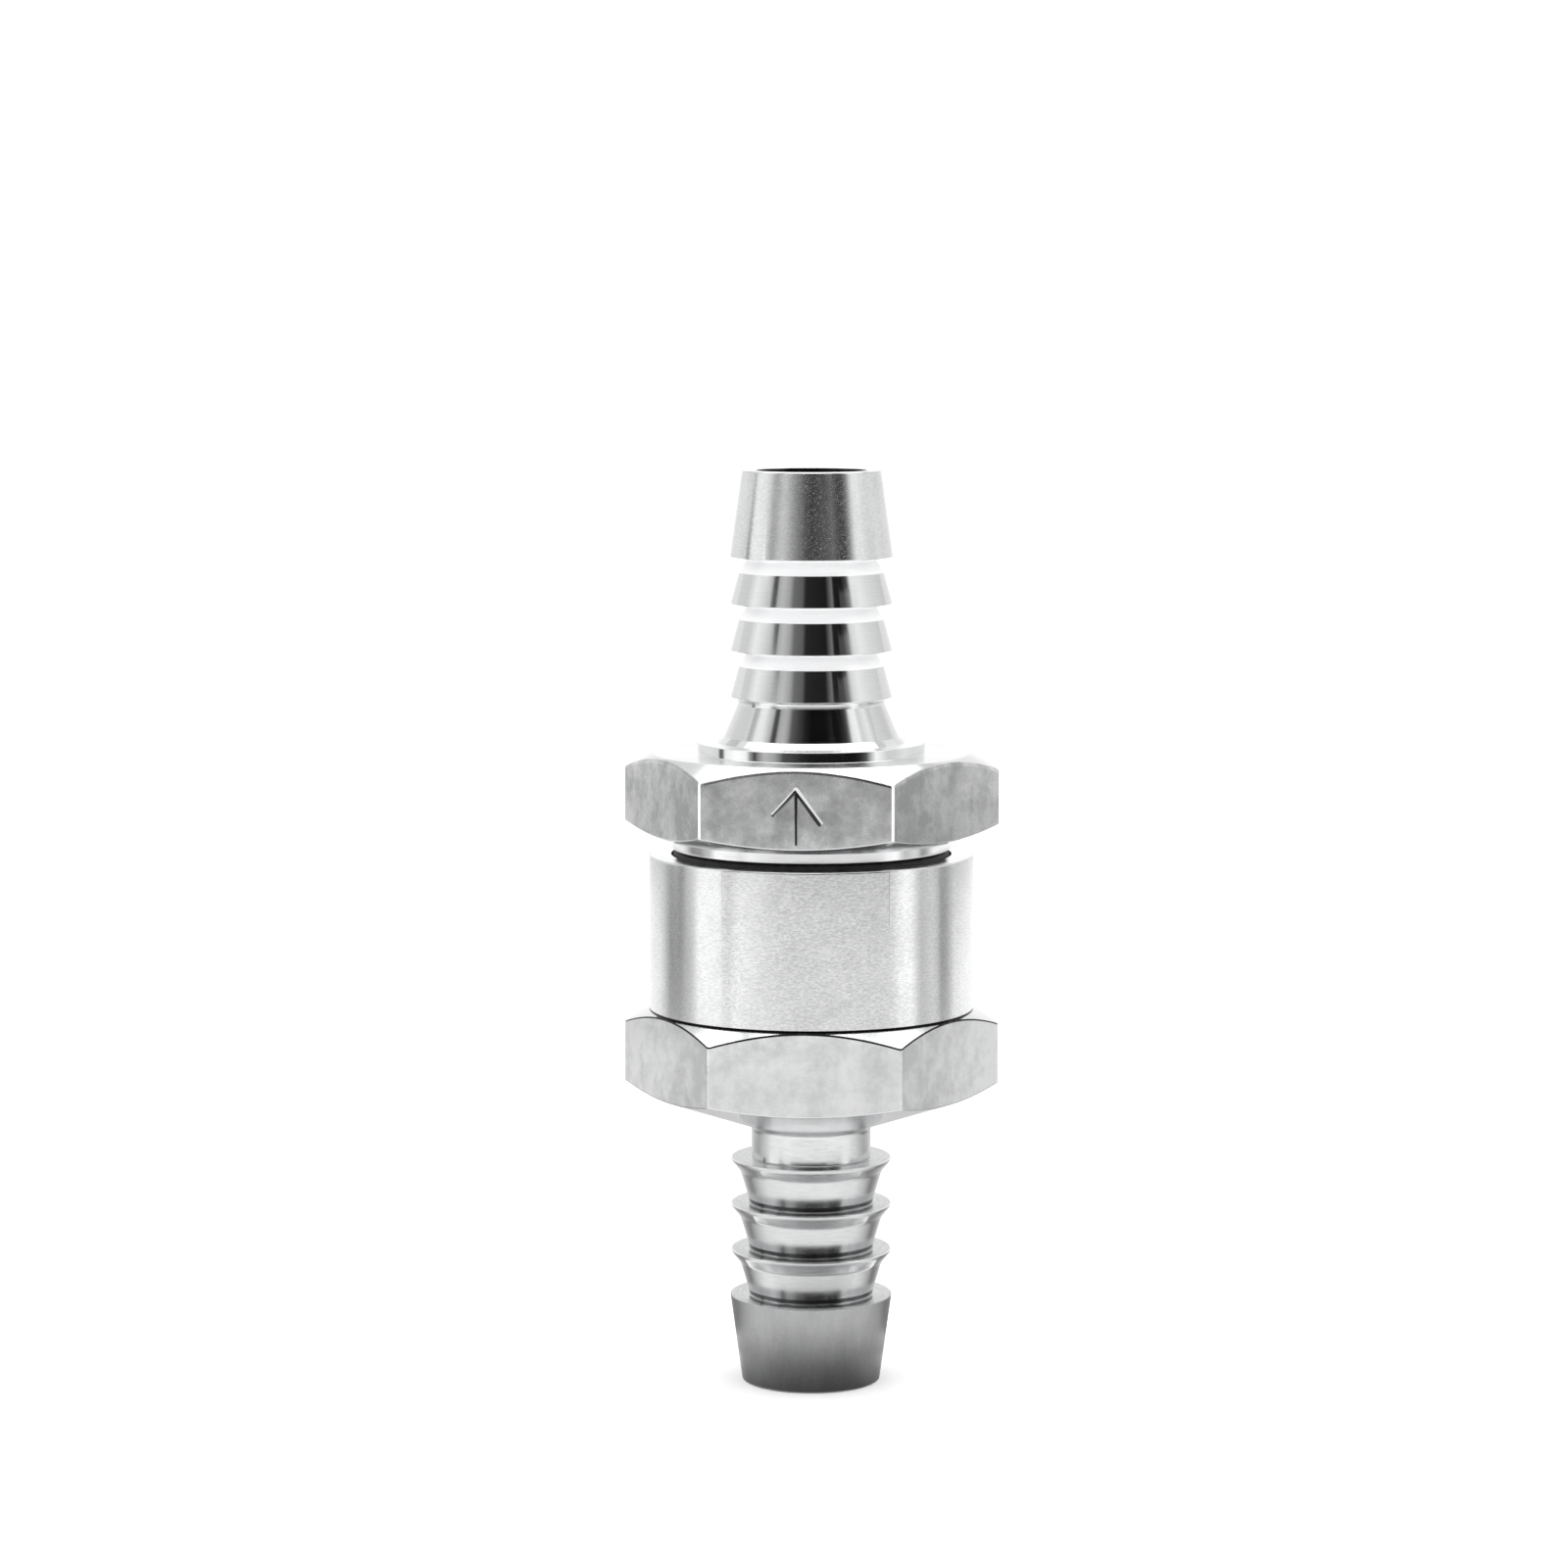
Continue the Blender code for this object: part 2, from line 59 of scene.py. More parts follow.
# ---------------------------------------------------------------- sizes read from the frame
inlet_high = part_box("inlet_body")[1]
cap_low, cap_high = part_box("outlet_cap")
clip_low, clip_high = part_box("guide_clip")
poppet_low, poppet_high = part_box("poppet")

CORNER_RADIUS = inlet_high.x / MM
APOTHEM = inlet_high.y / MM
BODY_TOP_Z = inlet_high.z / MM
TOTAL_LENGTH = cap_high.z / MM
SPIGOT_LOW_Z = cap_low.z / MM
CLIP_LOW_Z = clip_low.z / MM
CLIP_HIGH_Z = clip_high.z / MM
POPPET_LOW_Z = poppet_low.z / MM
POPPET_HIGH_Z = poppet_high.z / MM
GUIDE_HIGH_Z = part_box("stem_guide")[1].z / MM
SEAL_LOW_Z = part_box("poppet_seal")[0].z / MM
WASHER_LOW_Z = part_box("seal_washer")[0].z / MM
SCREW_HIGH_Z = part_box("seal_screw")[1].z / MM
CAP_ANGLE = math.radians(-2.95)   # screwed home a little off the body's hexagon

# ---------------------------------------------------------------- sizes of the turned outlines
BORE_RADIUS = 3.5
MOUTH_RADIUS = 4.05
TIP_RADIUS = 5.1
BARB_RADIUS = 5.99
BARB_COUNT = 4
INLET_PITCH = 3.43
INLET_TIP = 6.38
INLET_ROOT_RADIUS = 4.55
TAPER_FOOT_SHADE = 0.42             # height of the band of painted shade at the foot of each taper
LIP_INWARD = 0.16                 # foot of a ring's lip
LIP_HEIGHT = 0.3
FLARE_INWARD = 0.74               # foot of the flare below the lip
FLARE_HEIGHT = 1.0
OUTLET_PITCH = 3.42
OUTLET_TIP = 6.31
OUTLET_ROOT_RADIUS = 4.7
OUTLET_GROOVE = 1.15
OUTLET_RING_TOP_RADIUS = 5.33
OUTLET_UNDERCUT = 0.12
NECK_RADIUS = 4.4
NECK_FILLET = 0.6
NECK_TOP_Z = 19.25
BODY_CORNER_LOW_Z = 22.3
BODY_CORNER_HIGH_Z = 26.65
BODY_RADIUS = 11.94
BODY_CHAMFER = math.tan(math.radians(30))
SEAT_LOW_Z = 20.8
SEAT_TOP_RADIUS = 6.2
CHAMBER_RADIUS = 7.0
GUIDE_SHELF_Z = 31.25
POCKET_RADIUS = 7.55
CLIP_GROOVE_RADIUS = 8.3
SEAL_POCKET_RADIUS = 10.3
SEAL_POCKET_Z = 38.5
CAP_UNDERSIDE_Z = 40.5
CAP_UNDERSIDE_RADIUS = 10.87
CAP_CORNER_LOW_Z = 41.6
CAP_CORNER_HIGH_Z = 45.55
CAP_FACE_Z = 46.75
CAP_FACE_RADIUS = 11.65
STEP_RADIUS = 8.35
STEP_TOP_Z = 47.5
CONE_LOW_Z = 47.95
CONE_RADIUS = 6.4
CONE_TOP_RADIUS = 5.4
CONE_FLARE = 0.5
COLLAR_RADIUS = 10.2
COLLAR_LOW_Z = 39.72
RELIEF_RADIUS = 8.4
SPIGOT_MOUTH_RADIUS = 6.6
THREAD_PITCH = 1.0
THREAD_CREST_RADIUS = 8.95
THREAD_DEPTH = 0.58
THREAD_CLEARANCE = 0.05
THREAD_ROWS_PER_TURN = 16
THREAD_LOW_Z = 34.2
THREAD_FLANK = 1.3                # above 1, crests and roots come out flat
THREAD_ROOT_FLAT = 0.15
THREAD_RUN_OUT = 0.5              # height over which each end of the thread fades away
ARROW_TIP = (0.0, 45.2)           # across and up the front flat
ARROW_STROKES = (((0.05, 41.35), 0.24), ((-1.6, 43.45), 0.34), ((1.72, 42.85), 0.44))
ARROW_NOSE = 0.85                 # radius of the groove's bottom, as a share of its width
CORNER_FACET = 0.06
EDGE = 0.05
FLAT_EDGE = 0.35                  # rounding where a chamfer meets a flat
TIP_EDGE = 0.15
MOUTH_DEPTH = 1.2
RELIEF = 0.13                     # turned groove at the foot of the round body
CHAMFER_SHADE_LINE = 0.08                       # height of the line of painted shade where the chamfer cuts the lower flats
FILLET_STEPS = 4
ARC_STEPS = 8
SNUG = 0.02                       # gap left between pieces that touch on the real valve

# ---------------------------------------------------------------- sizes of the inner pieces
RING_MIDDLE_RADIUS = 9.35
RING_HALF_WIDTH = 0.8
RING_SQUARENESS = 0.8             # 1 gives a round section, less a squeezed one
RING_POINTS = 28
HEAD_LOW_Z = 23.9
HEAD_HIGH_Z = 25.1
HEAD_RADIUS = 5.6
STEM_RADIUS = 1.5
STEM_TIP = 0.35
BOSS_RADIUS = 1.9
SCREW_HOLE_RADIUS = 0.95
SCREW_HOLE_TOP_Z = 25.5
WASHER_RADIUS = 3.0
WASHER_HOLE_RADIUS = 1.05
WASHER_THINNER = 0.28             # taken off the underside of the CAD washer
SCREW_RADIUS = 0.76
SCREW_THREAD_DEPTH = 0.14
SCREW_PITCH = 0.4
SCREW_ROWS = 60
SCREW_HEAD_RADIUS = 1.7
SCREW_HEAD_HEIGHT = 0.95
SCREW_SLOT = (0.42, 8.0, 0.9)
HUB_RADIUS = 2.7
GUIDE_RADIUS = 7.5
GUIDE_PLATE_Z = 32.55
STEM_HOLE_RADIUS = 1.56
GUIDE_HOLES = 6
GUIDE_HOLE_RADIUS = 1.35
GUIDE_HOLE_CIRCLE = 4.95
COUNTERSINK = 0.25
CLIP_RADIUS = 8.15
CLIP_INNER_RADIUS = 7.0
CLIP_BULGE = 0.25                 # the clip is widest opposite its gap
CLIP_GAP = math.radians(25)       # half of the opening
CLIP_STEPS = 72
EYE_SHARE = 0.045                 # share of the clip's length that each eye takes
EYE_DEPTH = 0.95
EYE_ANGLE = math.radians(6.5)
EYE_CIRCLE = 6.95
EYE_HOLE_RADIUS = 0.42
CLIP_THICKER = 0.05               # on each side, half of the play in its groove
SPRING_RADIUS = 2.8
WIRE_RADIUS = 0.25
SPRING_TURNS = 5.0
CLOSED_TURNS = 0.9                # at each end
WIRE_LEFT = 0.8                   # share of the wire's radius left where the ends are ground
SPRING_STEPS = 48
WIRE_SIDES = 16

# ---------------------------------------------------------------- sizes of the studio, in metres
WALL_RADIUS = 0.30
MIDDLE_RADIUS = 0.168
NEAR_RADIUS = 0.11
LOW_RADIUS = 0.0145
FOOT_RADIUS = 0.0098
CARD_DROP = 0.00002               # floor cards lie just under the object's foot
FLOOR_DROP = 0.00008
CARD_STEPS = 180


# ---------------------------------------------------------------- turning
def column_angles():
    """Angles around Z in radians, closer together near the six corners of the hexagons."""
    half = [0.0, 4.0, 8.0, 12.0, 16.0, 19.5, 22.5, 25.0, 27.0, 28.4, 29.56, 29.8, 30.0]
    sector = [-a for a in reversed(half[1:])] + half[:-1]
    return [math.radians(a + 60 * turn) for turn in range(6) for a in sector]


def on_corner(angle):
    """True for the narrow facet that breaks each corner of a hexagon."""
    return 29.5 < math.degrees(angle) % 60 < 30.3


def hexagon_radius(angle):
    """Distance from the axis to the hexagon's skin; its flats face -Y and +Y."""
    from_flat = (angle + math.pi / 6) % (math.pi / 3) - math.pi / 6
    flat = APOTHEM / math.cos(from_flat)
    corner = (CORNER_RADIUS - CORNER_FACET) / math.cos(math.pi / 6 - abs(from_flat))
    return min(flat, corner)


def rounded(points, closed):
    """Replace each (radius, height, fillet, zone) corner by an arc; returns (r, z, zone)."""
    result = []
    count = len(points)
    for index, (r, z, fillet, zone) in enumerate(points):
        inner = closed or 0 < index < count - 1
        if fillet == 0 or not inner:
            result.append((r, z, zone))
            continue
        here = Vector((r, z))
        before = Vector(points[index - 1][:2]) - here
        after = Vector(points[(index + 1) % count][:2]) - here
        reach = 0.45 * min(before.length, after.length)
        half_angle = before.angle(after) / 2
        cut = min(fillet / math.tan(half_angle), reach)
        start = here + before.normalized() * cut
        end = here + after.normalized() * cut
        for step in range(FILLET_STEPS + 1):
            t = step / FILLET_STEPS
            point = start * (1 - t) ** 2 + here * 2 * t * (1 - t) + end * t ** 2
            result.append((point.x, point.y, zone))
    return result


def lathe(name, section, materials, closed=True, angles=None):
    """Loft the section, a function of the angle, around Z.

    The section runs down the outer side.  A row takes the zone, and so the material, of the
    corner that it starts from.
    """
    angles = angles or column_angles()
    columns = [rounded(section(a), closed) for a in angles]
    rows = len(columns[0])
    names = [m.name for m in materials]
    shape = bmesh.new()
    grid = []
    for angle, column in zip(angles, columns):
        across, along = math.sin(angle), -math.cos(angle)
        grid.append([
            shape.verts.new((r * MM * across, r * MM * along, z * MM)) for r, z, _ in column])
    if not closed:
        for end in (0, rows - 1):
            r, z, _ = columns[0][end]
            pole = shape.verts.new((0, 0, z * MM))
            for index, column in enumerate(grid):
                other = grid[(index + 1) % len(grid)]
                pair = (column[end], other[end]) if end == 0 else (other[end], column[end])
                face = shape.faces.new((*pair, pole))
                face.material_index = names.index(columns[0][end][2])
                face.smooth = True
    for index, column in enumerate(grid):
        other = grid[(index + 1) % len(grid)]
        for row in range(rows if closed else rows - 1):
            below = (row + 1) % rows
            face = shape.faces.new((column[row], column[below], other[below], other[row]))
            face.material_index = names.index(columns[index][row][2])
            face.smooth = True
    return finished_mesh(name, shape, materials)


def finished_mesh(name, shape, materials):
    """Turn the bmesh into an object of the scene, its faces looking outwards."""
    bmesh.ops.recalc_face_normals(shape, faces=shape.faces)
    if shape.calc_volume(signed=True) < 0:
        bmesh.ops.reverse_faces(shape, faces=shape.faces)
    mesh = bpy.data.meshes.new(name)
    shape.to_mesh(mesh)
    shape.free()
    for material in materials:
        mesh.materials.append(material)
    piece = bpy.data.objects.new(name, mesh)
    bpy.context.scene.collection.objects.link(piece)
    return piece


def even_angles(count):
    return [2 * math.pi * i / count for i in range(count)]


def on_circle(radius, angle, height=0.0):
    """The place in metres at this radius and height, counted from +X."""
    return Vector((radius * math.cos(angle), radius * math.sin(angle), height)) * MM


def weigh_normals(piece):
    """Let the large faces set the shading at their edges, as on machined metal."""
    modifier = piece.modifiers.new("normals", "WEIGHTED_NORMAL")
    modifier.weight = 100


def apply_modifiers(piece):
    """Bake the modifiers into the mesh."""
    evaluated = piece.evaluated_get(bpy.context.evaluated_depsgraph_get())
    mesh = bpy.data.meshes.new_from_object(evaluated)
    piece.modifiers.clear()
    piece.data = mesh


def cut(piece, cutter):
    """Boolean the cutter into the piece and throw the cutter away."""
    modifier = piece.modifiers.new("cut", "BOOLEAN")
    modifier.operation = "DIFFERENCE"
    modifier.object = cutter
    modifier.solver = "EXACT"
    bpy.context.view_layer.update()
    apply_modifiers(piece)
    bpy.data.objects.remove(cutter)


# ---------------------------------------------------------------- materials
class Nodes:
    """Small helper that wires shader nodes into one material."""

    def __init__(self, name):
        self.material = bpy.data.materials.new(name)
        self.material.use_nodes = True
        self.tree = self.material.node_tree
        self.shader = self.tree.nodes["Principled BSDF"]

    def scaled(self, place, across, along):
        """The place in millimetres, with its own scale across the axis and along it."""
        mapping = self.add("ShaderNodeMapping", Vector=place)
        mapping.inputs["Scale"].default_value = (across, across, along)
        return mapping.outputs["Vector"]

    def axis(self, place, index):
        return self.add("ShaderNodeSeparateXYZ", Vector=place).outputs[index]

    def add(self, kind, settings=None, **inputs):
        node = self.tree.nodes.new(kind)
        for key, value in (settings or {}).items():
            setattr(node, key, value)
        for key, value in inputs.items():
            self.feed(node.inputs[key.replace("_", " ")], value)
        return node

    def feed(self, socket, value):
        if isinstance(value, bpy.types.NodeSocket):
            self.tree.links.new(value, socket)
        else:
            socket.default_value = value

    def math(self, operation, first, second=0.0):
        node = self.tree.nodes.new("ShaderNodeMath")
        node.operation = operation
        self.feed(node.inputs[0], first)
        self.feed(node.inputs[1], second)
        return node.outputs[0]

    def millimetres(self):
        place = self.add("ShaderNodeTexCoord").outputs["Object"]
        scale = self.add("ShaderNodeVectorMath", {"operation": "SCALE"})
        self.feed(scale.inputs[0], place)
        scale.inputs["Scale"].default_value = 1000.0
        return scale.outputs[0]

    def from_axis(self, split):
        """Distance from the Z axis, from the separated coordinates."""
        return self.math("SQRT", self.math(
            "ADD", self.math("MULTIPLY", split[0], split[0]),
            self.math("MULTIPLY", split[1], split[1])))

    def stretched(self, place, across, along):
        """The place in millimetres, scaled across and along the axis, with turning marks that
        stay rings on faces square to the axis."""
        split = self.add("ShaderNodeSeparateXYZ", Vector=place).outputs
        height = self.math("ADD", split[2], self.math("MULTIPLY", self.from_axis(split), 0.73))
        join = self.tree.nodes.new("ShaderNodeCombineXYZ")
        self.feed(join.inputs[0], self.math("MULTIPLY", split[0], across))
        self.feed(join.inputs[1], self.math("MULTIPLY", split[1], across))
        self.feed(join.inputs[2], self.math("MULTIPLY", height, along))
        return join.outputs[0]

    def noise(self, place, scale=1.0, detail=2.0, roughness=0.5):
        return self.add(
            "ShaderNodeTexNoise", Vector=place, Scale=scale, Detail=detail,
            Roughness=roughness).outputs["Fac"]

    def spread(self, value, low, high, from_low=0.3, from_high=0.7):
        return self.add(
            "ShaderNodeMapRange", Value=value, From_Min=from_low, From_Max=from_high,
            To_Min=low, To_Max=high).outputs["Result"]

    def tint(self, factor, dark, light):
        mix = self.add("ShaderNodeMix", {"data_type": "RGBA"})
        self.feed(mix.inputs["Factor"], factor)
        mix.inputs["A"].default_value = (*dark, 1.0)
        mix.inputs["B"].default_value = (*light, 1.0)
        return mix.outputs["Result"]

    def bump(self, height, distance_mm):
        node = self.add("ShaderNodeBump", Height=height)
        node.inputs["Distance"].default_value = distance_mm * MM
        node.inputs["Strength"].default_value = 1.0
        return node.outputs["Normal"]


def turned_metal(
        name, light, dark, roughness, grain, groove_mm, speckle=0.0, stretch=0.9, metallic=1.0):
    """Metal with turning marks that run around the axis.

    grain is (cells a millimetre around, cells a millimetre along) and groove_mm the depth of
    the marks.  speckle roughens single cells, as on a worn or blasted surface, and stretch draws
    highlights out along the axis, as marks too fine to see do.
    """
    nodes = Nodes(name)
    place = nodes.millimetres()
    around = nodes.add("ShaderNodeTangent", {"direction_type": "RADIAL", "axis": "Z"})
    nodes.feed(nodes.shader.inputs["Tangent"], around.outputs["Tangent"])
    nodes.shader.inputs["Anisotropic"].default_value = stretch
    nodes.shader.inputs["Anisotropic Rotation"].default_value = 0.25
    cells = nodes.noise(nodes.stretched(place, *grain), detail=2.0, roughness=0.6)
    cloud = nodes.noise(place, scale=0.45, detail=4.0, roughness=0.6)
    nodes.feed(nodes.shader.inputs["Normal"], nodes.bump(cells, groove_mm))
    wear = nodes.math(
        "ADD", nodes.math("MULTIPLY", cells, 0.7), nodes.math("MULTIPLY", cloud, 0.3))
    nodes.feed(nodes.shader.inputs["Base Color"], nodes.tint(
        nodes.spread(wear, 0.0, 1.0, 0.38, 0.6), dark, light))
    low, high = roughness
    rough = nodes.spread(wear, high, low, 0.35, 0.65)
    if speckle:
        spots = nodes.noise(nodes.stretched(place, *grain), scale=1.8, detail=2.0, roughness=0.7)
        rough = nodes.math("ADD", rough, nodes.spread(spots, 0.0, speckle, 0.42, 0.72))
    nodes.feed(nodes.shader.inputs["Roughness"], rough)
    nodes.shader.inputs["Metallic"].default_value = metallic
    return nodes.material


def stained_and_shaded_metal(name):
    """End of the lower barb: upright stains, and painted shade that darkens it towards the foot."""
    nodes = Nodes(name)
    place = nodes.millimetres()
    stain = nodes.noise(nodes.scaled(place, 0.684, 0.228), detail=4.0, roughness=0.65)
    grit = nodes.noise(place, scale=6.0, detail=3.0, roughness=0.7)
    # Painted shade: the colour darkens towards the foot, standing for the shadowed floor that the
    # tip mirrors.
    clean_and_lit = nodes.math("ADD", nodes.spread(nodes.axis(place, 2), 0.0, 0.85, 0.2, 5.2), nodes.math(
        "ADD", nodes.spread(stain, -0.14, 0.14), nodes.spread(grit, -0.1, 0.1)))
    nodes.feed(nodes.shader.inputs["Base Color"], nodes.tint(
        clean_and_lit, (0.319, 0.321, 0.323), (0.638, 0.642, 0.646)))
    nodes.feed(nodes.shader.inputs["Roughness"], nodes.spread(stain, 0.36, 0.28))
    nodes.feed(nodes.shader.inputs["Normal"], nodes.bump(grit, 0.002))
    nodes.shader.inputs["Metallic"].default_value = 1.0
    return nodes.material


def drawn_bar_metal(name, light, dark, roughness, inner_painted_light, outer_painted_light):
    """The flats of hexagon bar: satin, clouded, with fine scratches along the bar.

    inner_painted_light and outer_painted_light paint light and shade on the side flats: they
    lighten or darken them at the front corner and at the outermost corner.
    """
    nodes = Nodes(name)
    place = nodes.millimetres()
    cloud = nodes.noise(place, scale=0.5, detail=6.0, roughness=0.68)
    grit = nodes.noise(place, scale=7.0, detail=3.0, roughness=0.7)
    scratch = nodes.noise(nodes.scaled(place, 6.0, 0.35), detail=3.0, roughness=0.7)
    height = nodes.math("ADD", grit, nodes.math("MULTIPLY", scratch, 0.5))
    nodes.feed(nodes.shader.inputs["Normal"], nodes.bump(height, 0.0015))
    broad = nodes.noise(nodes.scaled(place, 0.9, 0.1), detail=2.0)
    sideways = nodes.math("ABSOLUTE", nodes.axis(place, 0))
    # Painted light and shade: the side flats grow lighter or darker across their width.
    side_painted_light = nodes.math(
        "MULTIPLY", nodes.spread(sideways, 0.0, 1.0, 6.9, 7.1),
        nodes.spread(sideways, inner_painted_light, outer_painted_light, 7.0, 13.5))
    tone = nodes.math("ADD", nodes.spread(cloud, 0.1, 0.9, 0.35, 0.62), nodes.math(
        "ADD", side_painted_light, nodes.spread(broad, -0.12, 0.12)))
    nodes.feed(nodes.shader.inputs["Base Color"], nodes.tint(tone, dark, light))
    nodes.feed(nodes.shader.inputs["Roughness"], nodes.spread(cloud, roughness[1], roughness[0]))
    nodes.shader.inputs["Metallic"].default_value = 1.0
    return nodes.material


def moulded_rubber(name):
    nodes = Nodes(name)
    place = nodes.millimetres()
    grit = nodes.noise(place, scale=7.0, detail=4.0, roughness=0.65)
    dust = nodes.noise(place, scale=1.3, detail=3.0)
    nodes.feed(nodes.shader.inputs["Normal"], nodes.bump(grit, 0.02))
    nodes.feed(nodes.shader.inputs["Base Color"], nodes.tint(
        nodes.spread(dust, 0.0, 1.0), (0.008, 0.008, 0.008), (0.022, 0.022, 0.023)))
    nodes.feed(nodes.shader.inputs["Roughness"], nodes.spread(grit, 0.45, 0.65))
    return nodes.material


POLISHED = turned_metal(
    "polished_turning", (0.95, 0.955, 0.96), (0.91, 0.915, 0.92), (0.05, 0.08), (0.5, 18.0),
    0.0002)
TIP_SATIN = turned_metal(
    "satin_turning", (0.97, 0.975, 0.98), (0.86, 0.865, 0.87), (0.09, 0.13), (2.6, 7.0), 0.0012,
    speckle=0.2)
BODY_SATIN = turned_metal(
    "body_turning", (0.99, 0.995, 1.0), (0.84, 0.845, 0.85), (0.11, 0.15), (3.0, 9.0), 0.0009,
    speckle=0.1)
FACED = turned_metal(
    "faced_turning", (0.97, 0.975, 0.98), (0.94, 0.945, 0.95), (0.10, 0.16), (0.5, 14.0), 0.0004)
GROOVED = turned_metal(
    "grooved_turning", (0.98, 0.985, 0.99), (0.95, 0.955, 0.96), (0.30, 0.38), (0.5, 14.0), 0.0004,
    stretch=0.4, metallic=0.35)
LOWER_SATIN = turned_metal(
    "lower_barb_turning", (0.97, 0.975, 0.98), (0.91, 0.915, 0.92), (0.13, 0.18), (1.0, 7.0), 0.001)
# Stains plus painted shade towards the foot of the lower barb's tip.
STAINED_SHADED_TIP = stained_and_shaded_metal("stained_and_shaded_tip")
# Dark grey metal for bores, threads and hidden turned faces: painted shade, as these lie in shadow.
SHADED_BORE = turned_metal(
    "bore_painted_shade", (0.30, 0.305, 0.31), (0.20, 0.205, 0.21), (0.16, 0.24), (0.5, 6.0), 0.001)
SHADED = turned_metal(
    "shaded_turning", (0.045, 0.045, 0.046), (0.03, 0.03, 0.03), (0.2, 0.3), (0.5, 6.0), 0.001)
# Near-black metal: painted shade in the corner at the foot of each lower taper.
SHADED_TAPER_FOOT = turned_metal(
    "taper_foot_painted_shade", (0.26, 0.262, 0.265), (0.05, 0.05, 0.052), (0.2, 0.3), (0.8, 9.0), 0.002)
# Darker metal on the top face of each lower ring: painted shade.
SHADED_RING_FACE = turned_metal(
    "ring_face_painted_shade", (0.58, 0.585, 0.59), (0.44, 0.445, 0.45), (0.12, 0.18), (0.6, 12.0), 0.0006)
# Both carry painted light and shade on their side flats.
CAP_FLAT = drawn_bar_metal(
    "cap_flats", (0.98, 0.985, 0.99), (0.50, 0.505, 0.51), (0.22, 0.34), -0.55, 0.2)
BODY_FLAT = drawn_bar_metal(
    "body_flats", (0.97, 0.975, 0.98), (0.74, 0.745, 0.75), (0.16, 0.24), -0.5, 0.5)
BRASS = turned_metal(
    "turned_brass", (0.86, 0.66, 0.33), (0.70, 0.50, 0.22), (0.16, 0.26), (0.6, 9.0), 0.002)
STEEL = turned_metal(
    "stainless", (0.74, 0.73, 0.71), (0.60, 0.59, 0.57), (0.16, 0.28), (0.6, 8.0), 0.001)
RUBBER = moulded_rubber("black_rubber")
SHELL_MATERIALS = [
    POLISHED, TIP_SATIN, BODY_SATIN, FACED, GROOVED, LOWER_SATIN, STAINED_SHADED_TIP, SHADED_BORE, SHADED,
    SHADED_TAPER_FOOT, SHADED_RING_FACE, CAP_FLAT, BODY_FLAT]


# ---------------------------------------------------------------- inlet body
def inlet_barbs():
    """Flared lip, hollow below it, then a straight taper to the next ring's root."""
    points = []
    for ring in range(BARB_COUNT - 1, 0, -1):
        edge_z = INLET_TIP + ring * INLET_PITCH
        foot_z = edge_z - INLET_PITCH
        points += [
            (BARB_RADIUS, edge_z, 0.1, LOWER_SATIN.name),
            (BARB_RADIUS - LIP_INWARD, edge_z - LIP_HEIGHT, 0.3, LOWER_SATIN.name),
            (BARB_RADIUS - FLARE_INWARD, edge_z - FLARE_HEIGHT, 0.9, LOWER_SATIN.name),
            # Painted shade in the corner at the foot of the taper.
            (INLET_ROOT_RADIUS + 0.1, foot_z + TAPER_FOOT_SHADE, 0.05, SHADED_TAPER_FOOT.name),
            # The ring's top face carries painted shade.
            (INLET_ROOT_RADIUS, foot_z, 0.1, SHADED_RING_FACE.name),
        ]
    return points + [
        (BARB_RADIUS, INLET_TIP, 0.07, STAINED_SHADED_TIP.name),
        (TIP_RADIUS, 0.0, EDGE, FACED.name),
    ]


def thread_rows(low_z, high_z, angle, clearance, zone, upwards):
    """A V thread read off at even heights; both threads of the pair share one helix."""
    count = round((high_z - low_z) / THREAD_PITCH * THREAD_ROWS_PER_TURN)
    rows = []
    for index in range(count + 1):
        z = low_z + (high_z - low_z) * index / count
        turn = (z / THREAD_PITCH - angle / (2 * math.pi)) % 1.0
        rise = min(max(abs(2 * turn - 1) * THREAD_FLANK - THREAD_ROOT_FLAT, 0.0), 1.0)
        fade = min(1.0, (z - low_z) / THREAD_RUN_OUT, (high_z - z) / THREAD_RUN_OUT)
        radius = THREAD_CREST_RADIUS - THREAD_DEPTH * (1 - rise * max(fade, 0.0)) + clearance
        rows.append((radius, z, 0, zone))
    return rows if upwards else rows[::-1]


def inlet_outside(angle):
    """From the top of the round body down to the inlet end face."""
    skin = hexagon_radius(angle)
    under_radius = NECK_RADIUS + NECK_FILLET
    under_slope = (BODY_CORNER_LOW_Z - NECK_TOP_Z) / (CORNER_RADIUS - under_radius)
    junction_z = BODY_CORNER_HIGH_Z + (CORNER_RADIUS - BODY_RADIUS) * BODY_CHAMFER
    high_z = BODY_CORNER_HIGH_Z + (CORNER_RADIUS - skin) * BODY_CHAMFER
    low_z = BODY_CORNER_LOW_Z - (CORNER_RADIUS - skin) * under_slope
    outer = [
        (BODY_RADIUS, BODY_TOP_Z, 0.12, BODY_SATIN.name),
        (BODY_RADIUS, junction_z + 1.4 * RELIEF, 0.02, SHADED.name),
        (BODY_RADIUS - RELIEF, junction_z + 0.7 * RELIEF, 0.02, SHADED.name),
        (BODY_RADIUS, junction_z, 0.02, FACED.name),
        # Painted shade: a near-black line in the notch where the chamfer cuts the lower flats.
        (skin - 0.08, high_z + 0.05, 0.02, SHADED.name),
        (skin, high_z - CHAMFER_SHADE_LINE, 0.05, BODY_FLAT.name),
        (skin, low_z, 2 * EDGE, FACED.name),
        (under_radius, NECK_TOP_Z, 0, LOWER_SATIN.name),
    ]
    for step in range(1, ARC_STEPS + 1):
        turn = math.radians(90 + 90 * step / ARC_STEPS)
        outer.append((
            under_radius + NECK_FILLET * math.cos(turn),
            NECK_TOP_Z - NECK_FILLET + NECK_FILLET * math.sin(turn), 0, LOWER_SATIN.name))
    outer.append((
        NECK_RADIUS, INLET_TIP + (BARB_COUNT - 1) * INLET_PITCH, 0.1, SHADED_RING_FACE.name))
    return outer + inlet_barbs()


